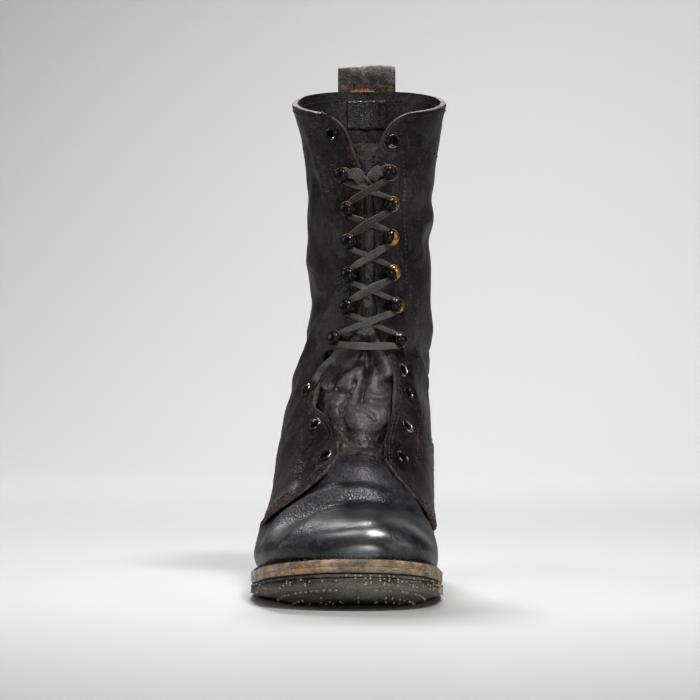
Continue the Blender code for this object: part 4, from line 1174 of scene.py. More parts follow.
# creases of the shaft and quarters as seen from the front, in mm: across the boot and up
SHAFT_FORMS = (
    (1.3, 2.6, 3.0, 0.2, ((-36, 280), (-34, 269), (-27, 253), (-21.4, 235), (-19, 222))),
    (-1.2, 4.0, 4.0, 0.3, ((-33, 250), (-28, 238), (-25, 222))),
    (1.2, 2.2, 2.6, 0.25, ((-35, 199), (-32.4, 193), (-30, 186), (-27.7, 178), (-26, 170))),
    (-1.1, 3.5, 3.5, 0.3, ((-30, 208), (-26, 198), (-21, 190))),
    (1.3, 2.2, 2.6, 0.25, ((-17.5, 170), (-21, 162), (-25, 156), (-33.4, 145), (-37, 138))),
    (-1.2, 3.5, 3.5, 0.3, ((-32, 160), (-27, 166), (-22, 176))),
    (-1.0, 3.0, 3.0, 0.3, ((-35, 128), (-27, 133), (-20, 138))),
    (1.4, 2.6, 2.8, 0.25, ((41, 211), (38, 203), (35.5, 196), (34, 188))),
    (-1.2, 4.0, 3.5, 0.3, ((31, 205), (31, 190), (30, 172))),
    (1.1, 3.5, 3.5, 0.3, ((33, 164), (30, 153), (28, 140))),
    (-1.0, 3.5, 3.5, 0.3, ((37, 150), (33, 142), (29, 134))),
    (1.0, 4.0, 4.0, 0.3, ((38, 240), (34, 228), (30, 220))),
    (-0.8, 4.0, 4.0, 0.3, ((34, 262), (30, 250), (28, 236))),
    (1.0, 2.5, 2.5, 0.3, ((-42, 62), (-38, 70), (-35, 82), (-34, 96))),
    (-0.8, 3.0, 3.0, 0.3, ((-36, 60), (-31, 70), (-29, 82))),
    (0.8, 2.0, 2.0, 0.3, ((-52.5, 44), (-45.8, 52.4), (-40.6, 57.1), (-34, 66))),
    (-0.7, 2.5, 2.5, 0.3, ((34, 108), (32, 96), (33, 84))),
    (0.8, 2.5, 2.5, 0.3, ((30, 112), (35, 104), (38, 94))),
)
# creases of the sides and back as seen from the side, in mm: along the boot and up
SIDE_FORMS = (
    (-1.4, 5.0, 4.0, 0.3, ((-70, 118), (-45, 112), (-20, 116), (5, 126))),
    (1.2, 5.0, 5.0, 0.3, ((-62, 128), (-38, 122), (-12, 127), (8, 138))),
    (-1.1, 4.0, 4.0, 0.3, ((-60, 142), (-36, 136), (-10, 143), (12, 152))),
    (0.9, 5.0, 5.0, 0.3, ((-60, 156), (-35, 152), (-8, 158), (10, 166))),
    (-0.8, 5.0, 5.0, 0.3, ((-55, 172), (-30, 168), (-5, 176), (12, 184))),
    (-0.9, 4.0, 5.0, 0.3, ((-88, 90), (-66, 84), (-46, 86))),
    (0.8, 5.0, 5.0, 0.3, ((-100, 78), (-80, 72), (-60, 72))),
    (-0.6, 6.0, 6.0, 0.3, ((-60, 240), (-35, 232), (-10, 236), (8, 246))),
)
INNER_FORMS = (
    (1.9, 8.0, 6.0, 0.25, ((-72, 216), (-50, 220), (-28, 219), (-8, 214))),
    (-1.2, 6.0, 5.0, 0.25, ((-72, 201), (-50, 205), (-28, 204), (-8, 200))),
)
OUTER_FORMS = (
    (-0.9, 6.0, 6.0, 0.25, ((-72, 212), (-50, 208), (-28, 210), (-8, 214))),
    (0.8, 6.0, 6.0, 0.25, ((-72, 196), (-50, 192), (-28, 194), (-8, 198))),
)
FLAT_SPOTS = {
    side: np.array([fastener(table, at, side)[0] for table in (EYELETS, HOOKS) for at in range(len(table))])
    for side in (-1, 1)
}


def away_from_fasteners(points, side):
    distance = np.min([np.linalg.norm(points - spot, axis=-1) for spot in FLAT_SPOTS[side]], axis=0)
    return ease((distance - 0.0045) / 0.007)


def quarter_move(points, row, down, side):
    """How far a quarter stands out of its plain shape, in metres: creases, unevenness and lifted edges."""
    x, y, z = (points[..., c] / MM for c in range(3))
    total = 1.25 * forms(x, z, SHAFT_FORMS) * ease((-55 - y) / 15)
    total += forms(y, z, SIDE_FORMS) * ease((y + 92) / 30)
    total += forms(y, z, OUTER_FORMS if side < 0 else INNER_FORMS) * ease((np.abs(x) - 20) / 12)
    total += 0.55 * ripple(points, 0.055, 21) + 0.18 * ripple(points, 0.018, 22)
    total += 0.06 * ripple(points, 0.007, 23)
    at_sole = np.where(row < HEEL_ROW + 0.6, ease((1 - down) / 0.06), 0.25 + 0.75 * ease((1 - down) / 0.03))
    total *= at_sole * (down < 0.999)
    near_edge = 1 - ease(down / 0.03)
    frayed = 0.35 * ripple(points, 0.012, 40 + side) + 0.2 * ripple(points, 0.005, 43)
    total += frayed * near_edge * (row < 20.5)
    if side < 0:
        total += (2.2 * bell(row, 11.3, 0.5) + 1.0 * bell(row, 9.2, 0.6)) * bell(down, 0, 0.05)
    else:
        total += 0.8 * bell(row, 10.9, 0.5) * bell(down, 0, 0.06)
    total *= away_from_fasteners(points, side)
    total += 0.9 * bell(row, 7.95, 0.28) * (1 - ease((down - 0.40) / 0.14))
    return total * MM


def quarter_skin(row, side, down):
    here, out = skin_at(lambda r, d: upper_at(r, side, d, quarter_outer_inset(r, d)), row, down, side)
    return here + out * quarter_move(here, row, down, side)[..., None], out


def make_quarters():
    rows = spaced(
        (QUARTER_FRONT, 8.06, 8.5, 12.13, 12.25, 15.79, 15.93, 20.8, 20.94, LAST_ROW),
        (4, 5, 62, 6, 50, 6, 62, 3, 3),
    )
    downs = spaced((0.0, 0.012, 0.05, 0.655, 0.672, 0.84, 0.858, 1.0), (4, 4, 48, 8, 12, 6, 11))
    row, down = np.meshgrid(rows, downs, indexing="ij")
    for side, name in SIDES:
        outer, out = quarter_skin(row, side, down)
        beside_tuck = ease((down - 0.555) / 0.04) * (1 - ease((row - 12.35) / 0.15))
        over_vamp = 1 - ease((row - 9.25) / 0.35) + beside_tuck
        inner_inset = UPPER_WALL - (UPPER_WALL + 0.0001) * np.clip(over_vamp, 0, 1) * (row < 12.6)
        plain = upper_at(row, side, down, -QUARTER_STEP)
        inner = upper_at(row, side, down, inner_inset) + out * quarter_move(plain, row, down, side)[..., None]
        quads = grid_faces(*row.shape)
        if side > 0:
            quads = quads[:, ::-1]
        gone = (row < 12.15) & (down > 0.672)
        quads = quads[~gone.ravel()[quads].any(1)]
        middles = outer.reshape(-1, 3)[quads].mean(1)
        spots = FLAT_SPOTS[side][: len(EYELETS)]
        off_holes = np.min([np.linalg.norm(middles - spot, axis=1) for spot in spots], axis=0) > 0.0029
        quads = quads[off_holes]
        paint = np.zeros((*row.shape, 4))
        raw_edge = np.maximum.reduce([
            1 - ease((row - QUARTER_FRONT) / 0.03), 1 - ease(down / 0.006),
            0.45 - 0.45 * ease((LAST_ROW - row) / 0.04),
        ])
        low_edge = np.maximum.reduce([
            bell(down, 0.6645, 0.003) * (row < COUNTER_TOP), bell(row, 12.16, 0.03) * (down > SEAM_DOWN),
            bell(row, 15.88, 0.03) * (down > SEAM_DOWN), bell(down, 0.849, 0.004) * (row > COUNTER_TOP),
        ])
        in_slot = ease((row - 12.8) / 0.5) * ease((19.3 - row) / 0.5) * (down < 0.1)
        dull = 0.8 - 0.65 * in_slot - 0.35 * ease((row - 19.3) / 0.5)
        paint[..., 0] = np.clip(np.maximum(raw_edge * dull, low_edge * 0.35), 0, 1)
        worn = np.clip(0.35 + 0.5 * ripple(outer, 0.03, 50), 0, 1)
        near_edge = bell(down, 0, 0.035)
        across, back, up = (outer[..., c] / MM for c in range(3))
        # grey streaks high on the shaft are dust and a painted sheen; fold crests are painted lighter, as
        # scuffing and as a painted highlight
        dusty_sheen_streaks = np.clip(ripple(outer * [1, 1, 0.35], 0.016, 58) - 0.35, 0, 1) * ease((up - 100) / 80)
        crest_scuff_and_highlight = np.clip(forms(across, up, SHAFT_FORMS), 0, 2) * ease((-55 - back) / 15)
        crest_scuff_and_highlight += np.clip(forms(back, up, SIDE_FORMS), 0, 2) * ease((back + 92) / 30)
        paint[..., 1] = np.clip(0.06 * worn + 0.14 * near_edge * worn + 0.30 * dusty_sheen_streaks + 0.20 * crest_scuff_and_highlight, 0, 0.6)
        front_low = bell(row, 8.2, 0.35) * bell(down, 0.5, 0.12)
        brown = 0.15 * near_edge * (row > 12) + front_low * (0.9 if side < 0 else 0.4)
        brown += 0.14 * np.clip(ripple(outer, 0.04, 55), 0, 1) * (side < 0)
        paint[..., 2] = np.clip(brown, 0, 0.9)
        points, faces = closed_shell(outer, inner, quads)
        inside = paint * [0.8, 0, 1, 1] + [0, 0.25, 0, 0]
        paint = on_both(paint, inside)
        stands_for = ["upper"] if side < 0 else ()
        add_piece(f"quarter_{name}", points, faces, BLACK, stands_for, paint, 50)


make_vamp()
make_quarters()


# Seams of the upper


def side_length(row, side):
    """How far it is round one side at these rows, from the throat to the sole or back seam."""
    downs = np.linspace(0, 1, 40)
    points = upper_at(np.asarray(row, float)[:, None], side, downs[None], 0.0)
    return np.linalg.norm(np.diff(points, axis=1), axis=2).sum(1)


def seam(rows, side, downs, skin=quarter_skin, **stitch):
    """Stitches along a line of the upper, given by its rows and how far down each of them lies."""
    rows, downs = alike(rows, downs)
    return stitch_row(*skin(rows, side, downs), **stitch)


# Two lines of light thread on the inner side as seen from the front, in mm: across the boot and up
DOTTED_LINE = ((25.0, 256), (25.6, 248), (26.5, 212), (27.7, 182), (30.7, 158), (33.7, 140), (33.1, 125))
RED_LINE = ((35.9, 106.7), (34.7, 92.4), (33.9, 75.8))


def front_line(line, side):
    """Points and outward normals of a quarter along a line drawn as seen from the front."""
    rows, downs = np.meshgrid(np.linspace(8.2, 20.9, 260), np.linspace(0.005, 0.45, 160), indexing="ij")
    near = upper_at(rows, side, downs, -QUARTER_STEP) / MM
    nearest = [np.argmin((near[..., 0] - x) ** 2 + (near[..., 2] - z) ** 2) for x, z in fine_line(line, 4.0)]
    fine = fine_line(np.stack([rows.ravel()[nearest], downs.ravel()[nearest]], -1), 0.05)
    return quarter_skin(fine[:, 0], side, fine[:, 1])


def make_seams():
    dark, light = [], []
    for side, _ in SIDES:
        edge = np.linspace(8.12, 20.80, 420)
        low_edge = edge[edge < 13.2]
        for distance, rows in ((0.0034, edge), (0.0055, low_edge)):
            behind = distance / side_length(rows, side)
            dark.append(seam(rows, side, behind, seed=int(distance * 1e5), skip=0.05))
        around = np.linspace(0.04, 0.655, 120)
        for row in (8.16, 8.30):
            dark.append(seam(row, side, around, seed=int(row * 100), skip=0.08))
        dark.append(seam(20.84, side, np.linspace(0.05, 0.99, 160), seed=21, skip=0.04))
        if side > 0:
            for line, pitch in ((DOTTED_LINE, 0.0026), (RED_LINE, 0.0029)):
                light.append(stitch_row(*front_line(line, side), pitch, 0.0014, 0.00026, 0.0001, 0.08, 5))
        else:
            rows = np.linspace(12.6, 20.0, 300)
            behind = 0.0165 / side_length(rows, side)
            dark.append(seam(rows, side, behind, seed=5, skip=0.3, radius=0.00024, length=0.0018))
        rows = np.linspace(8.3, 15.7, 260)
        dark.append(seam(rows, side, 0.647, seed=6))
        dark.append(seam(rows[rows < 12], side, 0.632, seed=7))
        dark.append(seam(12.34, side, np.linspace(0.69, 0.985, 60), seed=8))
        dark.append(seam(15.72, side, np.linspace(0.68, 0.985, 60), seed=9))
        for down in (0.872, 0.892):
            dark.append(seam(np.linspace(16.05, 20.9, 200), side, down, seed=int(down * 1000)))
        band_row, band_start = (20.02, 0.16) if side < 0 else (19.86, 0.14)
        band = np.linspace(band_start, 0.84, 150)
        dark.append(seam(band_row, side, band, seed=12, skip=0.15, radius=0.00025))
        for row in (7.80, 7.63):
            across = np.linspace(-1, 0.10, 40)
            dark.append(seam(row, side, across, vamp_skin, seed=14, pitch=0.0027, length=0.0019))
    add_stitches("seams_dark", dark, DARK_THREAD)
    add_stitches("seams_light", light, LIGHT_THREAD)


make_seams()


# The sole


SOLE_WEAR_CENTRE_Y = -0.11
INNER_EDGE_OF_WELT = WELT_WIDTH - 0.002


def along_sole(count, first=0.0, last=1.0):
    """Places along the sole that crowd at both ends, where its outline turns."""
    return first + (last - first) * (1 - np.cos(np.linspace(0, math.pi, count))) / 2


def outline(margin, height_of, worn=0.0, seed=0, count=170, first=0.0):
    """A closed ring round the sole, from the toe down the outer side and back up the inner side."""
    along = along_sole(count, first)
    outer, inner = (sole_at(along, side, margin, height_of(along)) for side in (-1, 1))
    ring = np.concatenate([outer, inner[::-1]])
    if worn:
        aside = unit((ring - [0.0, SOLE_WEAR_CENTRE_Y, 0.0]) * [1, 1, 0])
        wear = worn * ripple(ring * [1, 1, 0.15], 0.03, seed) + 0.4 * worn * ripple(ring, 0.008, seed + 1)
        ring = ring + aside * wear[:, None]
    return ring


def plate(rings, caps=True):
    """Points and faces between rings of one size, closed at the first and last by strips across."""
    size = len(rings[0])
    faces = [grid_faces(len(rings), size, wrap=True)]
    if caps:
        i = np.arange(size // 2 - 1)
        for base, turn in ((0, 1), ((len(rings) - 1) * size, -1)):
            strip = np.stack([base + i, base + i + 1, base + size - 2 - i, base + size - 1 - i], -1)
            faces.append(strip[:, ::turn])
    return np.concatenate(rings), np.concatenate(faces)


def above(height, at_toe=0.0):
    """Heights above the sole's underside, and how much more at the toe."""
    return lambda along: sole_bottom(along) + height + at_toe * ease((0.24 - along) / 0.20)


def front_of_sole(points):
    return ease((-225 - points[:, 1] / MM) / 12)


def sole_paint(points, tan, dust_and_bounce_light, shade, seed):
    """Paint for the sole's layers. The shade is given ring by ring."""
    paint = np.zeros((len(points), 4))
    paint[:, 0] = tan
    paint[:, 1] = np.clip(dust_and_bounce_light * (0.7 + 0.6 * ripple(points, 0.03, seed)), 0, 1)
    paint[:, 2] = np.clip(ripple(points, 0.016, seed + 5) - 1.0, 0, 1) * front_of_sole(points)
    paint[:, 3] = np.repeat(shade, len(points) // len(shade))
    return paint


def tread_at(along, side, margin):
    """Points on the worn underside of the sole, which bulges down ahead of the tread."""
    back = (margin + along * (SOLE_LENGTH - 2 * margin)) / SOLE_LENGTH
    bottom = sole_bottom(back)
    drop = np.minimum(0.85 * bottom, 0.0058) * ease((TREAD_FRONT + 0.04 - back) / 0.04)
    return sole_at(along, side, margin, bottom - drop * ease(margin / 0.016))


# margin, height above the sole's underside, wear, seed and shade of each ring, from the top down
WELT_RINGS = (
    (INNER_EDGE_OF_WELT, WELT_TOP - 0.0002, 0.0, 0, 0.0), (0.0030, WELT_TOP + 0.0001, 0.0001, 5, 0.0),
    (0.0010, WELT_TOP, 0.0003, 5, 0.0), (0.0002, WELT_TOP - 0.0006, 0.0004, 5, 0.0),
    (0.0000, WELT_TOP - 0.0018, 0.0004, 5, 0.0), (0.0001, WELT_BOTTOM + 0.0004, 0.0004, 5, 0.0),
    (0.0003, WELT_BOTTOM - GAP, 0.0004, 5, 0.25), (INNER_EDGE_OF_WELT, WELT_BOTTOM, 0.0, 0, 0.0),
)
MIDSOLE_RINGS = (
    (0.0003, MIDSOLE_TOP, 0.0004, 5, 0.2), (0.0001, MIDSOLE_TOP - 0.0004, 0.0004, 5, 0.0),
    (0.0000, MIDSOLE_TOP - 0.0014, 0.0004, 5, 0.0), (0.0003, MIDSOLE_BOTTOM + 0.0008, 0.0004, 9, 0.0),
    (0.0006, MIDSOLE_BOTTOM, 0.0003, 9, 0.85),
)
# and here how much higher at the toe comes last
OUTSOLE_RINGS = (
    (0.0007, OUTSOLE_TOP, 0.0005, 12, 0.9, 0.0), (0.0003, OUTSOLE_TOP - 0.0005, 0.0005, 12, 0.0, 0.0),
    (-0.0001, OUTSOLE_TOP - 0.0016, 0.0005, 12, 0.0, 0.0),
    (0.0005, OUTSOLE_TOP - 0.0021, 0.0005, 12, 0.6, 0.0),
    (0.0000, OUTSOLE_TOP - 0.0027, 0.0005, 12, 0.0, 0.0), (0.0001, 0.0026, 0.0005, 12, 0.0, 0.0006),
    (0.0012, 0.0010, 0.0005, 12, 0.0, 0.0006), (0.0030, 0.0001, 0.0004, 12, 0.0, 0.0003),
)
TREAD_MARGINS = (0.0034, 0.0044, 0.0052, 0.0066, 0.0085, 0.0110, 0.0140, 0.0180, 0.0230, 0.0290, 0.0360)
TREAD_GROOVE_MARGIN = 0.0044


def sole_rings(table):
    return [outline(margin, above(height, *toe), worn, seed) for margin, height, worn, seed, _, *toe in table]


def shades(table):
    return [ring[4] for ring in table]


def make_soles():
    rings = sole_rings(WELT_RINGS)
    points, faces = plate(rings, caps=False)
    count = len(rings[0])
    around = np.arange(count)
    after, last = np.roll(around, -1), (len(rings) - 1) * count
    faces = np.concatenate([faces, np.stack([around + last, after + last, after, around], -1)])
    ring_index = np.arange(len(points)) // count
    x, front = points[:, 0] / MM, front_of_sole(points)
    tan = (0.45 * bell(x, -24, 13) + 0.5 * bell(x, 15, 6)) * front * np.isin(ring_index, (3, 4, 5, 6))
    paint = sole_paint(points, np.clip(tan, 0, 1), 0.42, shades(WELT_RINGS), 70)
    paint[:, 1] *= np.where(ring_index < 3, 1.3, 0.8)
    add_piece("welt_edge", points, faces, WELT, ["welt"], paint, 60)

    points, faces = plate(sole_rings(MIDSOLE_RINGS))
    tan = 1.2 * bell(points[:, 0] / MM, -26, 14) * front_of_sole(points)
    paint = sole_paint(points, np.clip(tan, 0, 1), 0.32, shades(MIDSOLE_RINGS), 75)
    add_piece("midsole_edge", points, faces, WELT, ["midsole"], paint, 60)

    rings = sole_rings(OUTSOLE_RINGS)
    size = len(rings[0])
    for margin in TREAD_MARGINS:
        outer, inner = (tread_at(along_sole(size // 2), side, margin) for side in (-1, 1))
        ring = np.concatenate([outer, inner[::-1]])
        ring[:, 2] += 0.0005 * (margin == TREAD_GROOVE_MARGIN)
        rings.append(ring)
    points, faces = plate(rings)
    paint = sole_paint(points, 0.0, 0.20, shades(OUTSOLE_RINGS) + [0.0] * len(TREAD_MARGINS), 80)
    # the underside is painted paler: dust, and a painted bounce light from the floor
    paint[6 * size :, 1] += 0.55
    add_piece("outsole_edge", points, faces, RUBBER, ["outsole"], np.clip(paint, 0, 1), 60)


# margin at the toe, how much farther in at the ball, pitch, length, radius, share left out
TREAD_STITCHES = (
    (0.0044, 0.009, 0.0038, 0.0022, 0.00055, 0.08), (0.0105, 0.012, 0.0050, 0.0013, 0.00070, 0.40),
    (0.0170, 0.014, 0.0062, 0.0012, 0.00070, 0.45), (0.0250, 0.012, 0.0070, 0.0014, 0.00065, 0.45),
)
CHIP_HEIGHTS = (0.0012, 0.0022, 0.0034, 0.0046, 0.0060)


def make_sole_stitches():
    s = along_sole(400)
    down = np.array([0.0, -0.35, -1.0])
    tread, welt = [], []
    for side, _ in SIDES:
        for margin, more, pitch, length, radius, skip in TREAD_STITCHES:
            along = s[(s >= 0.002) & (s <= 0.34)]
            path = tread_at(along, side, margin + more * ease(along / 0.25))
            seed = int(margin * 1e4) + side
            tread.append(stitch_row(path, down, pitch, length, radius, 0.0001, skip, seed))
        # dust and chips that stick to the front of the edge, more on the inner side
        for height in CHIP_HEIGHTS:
            along = s[s <= 0.28]
            path = sole_at(along, side, -0.0001, sole_bottom(along) + height)
            out = unit((path - path.mean(0)) * [1, 1, 0] + [0, -0.02, 0])
            skip, seed = 0.62 if side > 0 else 0.86, int(height * 1e4) + side
            tread.append(stitch_row(path, out, 0.0026, 0.0009, 0.00045, 0.0, skip, seed))
        along = s[s <= 0.72]
        path = sole_at(along, side, 0.0019, sole_bottom(along) + WELT_TOP + 0.0001)
        welt.append(stitch_row(path, np.array([0.0, 0.0, 1.0]), 0.0036, 0.0026, 0.00042, 0.0001, 0.04, 4))
    back = np.linspace(0.03, 0.30, 60)
    height = tread_at(0 * back, 1, back * SOLE_LENGTH)[:, 2]
    path = np.stack([plan(3, back) * BALL_WIDTH, back_to_y(back * SOLE_LENGTH), height], -1)
    tread.append(stitch_row(path, down, 0.0060, 0.0030, 0.00045, 0.0001, 0.3, 8))
    add_stitches("sole_stitches", tread, SOLE_THREAD)
    add_stitches("welt_stitches", welt, DARK_THREAD)


# share of the way down, margin and shade of each ring of the lifts, with a groove between two lifts
LIFT_RINGS = (
    (0.0, 0.0008, 0.6), (0.05, 0.0003, 0.0), (0.29, 0.0005, 0.0), (0.32, 0.0009, 0.9), (0.35, 0.0006, 0.0),
    (0.62, 0.0009, 0.0), (0.65, 0.0013, 0.9), (0.68, 0.0010, 0.0), (0.96, 0.0013, 0.0), (1.0, 0.0018, 0.8),
)
# height, margin and shade of each ring of the cap
CAP_RINGS = (
    (HEEL_CAP_WALL, 0.0020, 0.7), (0.0066, 0.0014, 0.0), (0.0024, 0.0015, 0.0), (0.0009, 0.0024, 0.0),
    (0.0001, 0.0040, 0.0), (0.0, 0.0075, 0.0),
)


def make_heel():
    def heel_ring(margin, height_of, seed):
        return outline(margin, height_of, 0.0003, seed, 120, HEEL_BREAST)

    def down_lifts(share):
        return lambda along: (sole_bottom(along) - GAP) * (1 - share) + (HEEL_CAP_WALL + GAP) * share

    points, faces = plate([heel_ring(margin, down_lifts(share), 90) for share, margin, _ in LIFT_RINGS])
    paint = sole_paint(points, 0.0, 0.15, [shade for *_, shade in LIFT_RINGS], 91)
    add_piece("heel_stack", points, faces, LIFTS, ["heel_lifts"], paint, 60)
    rings = [heel_ring(margin, lambda along, z=z: z + 0 * along, 93) for z, margin, _ in CAP_RINGS]
    points, faces = plate(rings)
    paint = sole_paint(points, 0.0, 0.3, [shade for *_, shade in CAP_RINGS], 95)
    add_piece("heel_top_piece", points, faces, CAP, ["heel_cap"], paint, 60)


make_soles()
make_sole_stitches()
make_heel()


# The tongue


# its folds as seen from the front, in mm: across the boot and up
TONGUE_FORMS = (
    (6.2, 3.0, 3.0, 0.06, (
        (0.5, 150), (-4.7, 141.4), (-10.5, 137.4), (-16.3, 131.0), (-21.5, 124.6), (-24.2, 117),
    ), "roll"),
    (4.6, 2.6, 2.9, 0.08, ((7.4, 150), (9.1, 141), (12.4, 134), (14.2, 127.6), (15.4, 121)), "roll"),
    (2.0, 5.4, 5.6, 0.0, ((9.4, 123), (10.6, 112))),
    (1.5, 1.1, 2.4, 0.15, ((9.1, 128.2), (7.2, 124.3), (5.3, 119.8), (3.9, 114.1), (5.4, 110.8))),
    (-1.8, 1.0, 1.0, 0.2, ((7.9, 137.2), (10.4, 129.5), (13.2, 123.8))),
    (-4.6, 2.6, 2.2, 0.08, (
        (3.2, 150), (4.2, 140.4), (4.8, 131.0), (4.0, 123.1), (3.0, 118.6), (1.8, 112.8), (1.2, 106.6),
    )),
    (-4.0, 2.4, 3.6, 0.1, ((1.2, 145), (-3.0, 135.6), (-9.5, 129.4), (-15.5, 122.6), (-19.4, 115))),
    (1.3, 5.0, 5.0, 0.0, ((-9.6, 122.5), (-9.0, 118))),
    (-2.2, 0.9, 1.1, 0.15, ((-13.6, 117.6), (-9.5, 115.7), (-5.6, 115.0))),
    (
        -2.6, 0.9, 1.2, 0.08,
        ((-3, 124), (-3.7, 119.2), (-5, 116), (-8.2, 110.2), (-10.4, 104.4), (-9.7, 99.6)),
    ),
    (1.6, 4.6, 4.6, 0.0, ((-16.5, 113), (-13.5, 105.5))),
    (-0.9, 0.9, 1.0, 0.15, ((3.4, 109.2), (6.3, 109.9), (11.1, 108.4), (17.5, 109.6))),
    (1.1, 1.1, 1.3, 0.2, ((5.3, 112.8), (10.4, 110.6), (15.6, 111.8))),
    (6.2, 8.4, 8.4, 0.0, ((0.6, 99.2), (7.8, 99.2)), "roll"),
    (1.6, 1.6, 2.0, 0.2, ((-5.0, 107.6), (-4.6, 103.8), (-2.4, 99.9), (1.4, 96.0))),
    (-2.2, 1.1, 1.3, 0.2, ((-2.2, 104.6), (2.7, 101.8), (7.2, 98.0), (9.2, 94.6))),
    (1.5, 1.8, 1.8, 0.25, ((14.4, 106.3), (12.4, 102.5), (12.8, 97.6))),
    (-3.0, 3.2, 3.2, 0.1, ((-12.0, 95), (-6.0, 87.6), (3.0, 85.0), (14.0, 86.6), (21.0, 95))),
    (2.2, 3.0, 3.0, 0.2, ((-11.5, 96), (-9.5, 90), (-6.0, 84))),
)


# lines painted lighter grey on the tongue's rolls and raised panels, as dust and as painted highlights, in mm:
# across the boot and up
DUST_AND_HIGHLIGHT_FOLDS = (
    (1, 2.5, 3.5, 0.3, ((-12, 122), (-9, 118))),
    (0.8, 2, 2, 0.3, ((5.6, 112), (11, 111), (16, 112))),
    (1.1, 1.6, 1.6, 0.12, ((-3, 142), (-10.5, 137.4), (-16.3, 131), (-21.5, 124.6), (-23.5, 119))),
    (0.9, 1.4, 1.4, 0.15, ((8.5, 144), (12.4, 134), (14.2, 127.6), (15, 122))),
    (0.7, 3, 3, 0.3, ((-15, 113), (-12, 106))),
    (0.8, 2.5, 2.5, 0.3, ((12.5, 105), (12.5, 98))),
)
BROWN_FOLDS = (
    (0.8, 2.0, 2.0, 0.3, ((-5.2, 107.6), (-3.6, 103), (-2, 100))),
    (0.25, 5.0, 5.0, 0.3, ((0, 98), (9, 97))),
)
# heights in mm
TONGUE_FOOT = 76
TONGUE_BEHIND_LACE = 150
TONGUE_TOP = 262.5


def make_tongue():
    crumpled = np.linspace(TONGUE_FOOT, TONGUE_BEHIND_LACE, 110)
    up = np.concatenate([crumpled, np.linspace(TONGUE_BEHIND_LACE, TONGUE_TOP, 76)[1:]]) * MM
    shares = np.linspace(-1, 1, 81)
    rows = np.linspace(QUARTER_FRONT, LAST_ROW, 200)
    row = np.interp(up, front_point(rows)[:, 2], rows)
    left, right = (facing_at(row, side, 0.0055, UPPER_WALL)[:, 0] for side in (-1.0, 1.0))
    x = left[:, None] + (right - left)[:, None] * (shares + 1) / 2
    z = up[:, None].repeat(len(shares), 1)
    base = front_at(x, z, UPPER_WALL + TONGUE_GAP)
    inside = front_at(x, z, UPPER_WALL + TONGUE_GAP + TONGUE_WALL)
    out = grid_normals(base)
    out *= np.sign(-out[..., 1].mean())
    x, z = x / MM, z / MM
    move = forms(x, z, TONGUE_FORMS) * (ease((z - 80) / 8) * ease((158 - z) / 14))
    move += 0.35 * ripple(base, 0.014, 61) + 0.14 * ripple(base, 0.006, 62)
    at_sides = np.abs(shares[None]) ** 16
    move = move * (1 - at_sides) * np.where(z < 152, 1.0, 0.35)
    moved = out * (move * MM)[..., None]
    paint = np.zeros((*x.shape, 4))
    paint[..., 0] = 1 - ease((TONGUE_TOP - z) / 1.2)
    # the higher a fold stands, the lighter it is painted: wear on the crests and a painted highlight, with the
    # hollows left dark
    paint[..., 1] = np.clip(0.06 + 0.105 * move * (z < 152) + 0.35 * forms(x, z, DUST_AND_HIGHLIGHT_FOLDS), 0, 0.85)
    paint[..., 2] = np.clip(forms(x, z, BROWN_FOLDS), 0, 1)
    points, faces = closed_shell(base + moved, inside + moved, grid_faces(*x.shape))
    add_piece("tongue_sheet", points, faces, TONGUE, ["tongue"], on_both(paint), 60)


make_tongue()


# The pull loop


STRAP_MIDDLE = (UPPER_WALL - COUNTER_STEP) / 2
STRAP_REACH = (UPPER_WALL + COUNTER_STEP) / 2 + GAP + STRAP_WALL / 2
ARCH_HEIGHT = 0.0026
STRAP_LEG_ROWS = 10
STRAP_STITCH_X = 0.0155
ON_LINING = UPPER_WALL + 0.0001


def loop_skins(xs):
    """The strap's two faces, from the foot of its back leg over the arch to the foot of its front leg."""
    collar = back_at(np.linspace(-0.5, 0.5, 5) * LOOP_WIDTH, LAST_ROW, STRAP_MIDDLE)
    arch_radius = (STRAP_REACH + LOOP_OPENING) / 2
    arch_y = collar[:, 1].mean() + (STRAP_REACH - LOOP_OPENING) / 2
    arch_z = collar[:, 2].max() + LOOP_RISE - ARCH_HEIGHT - STRAP_WALL / 2
    edge = back_at(xs, LAST_ROW, 0.0012)
    across = xs / LOOP_WIDTH
    turn = np.sin(np.linspace(0, math.pi, 22))[:, None]
    swing = np.cos(np.linspace(0, math.pi, 22))[:, None]
    legs = np.linspace(LAST_ROW - 0.8, LAST_ROW, STRAP_LEG_ROWS)
    share = np.linspace(0.12, 1.0, STRAP_LEG_ROWS)[:, None]
    for half in (STRAP_WALL / 2, -STRAP_WALL / 2):
        back_leg = back_at(xs, legs[:, None], STRAP_MIDDLE - STRAP_REACH - half)
        sag = -0.0011 * (across * 2) ** 4 * turn + 0.0004 * np.sin(across * 5) * turn
        arch = np.stack([
            xs * (1 - 0.012 * turn), arch_y + (arch_radius + half) * swing + 0 * xs,
            arch_z + (ARCH_HEIGHT + half) * turn**0.8 + sag,
        ], -1)
        start = arch[-1]
        y = start[:, 1] + (edge[:, 1] + half * 0.6 - start[:, 1]) * ease(share)
        z = start[:, 2] + (edge[:, 2] - 0.0012 - start[:, 2]) * share
        yield np.concatenate([back_leg, arch, np.stack([xs + 0 * y, y, z], -1)])


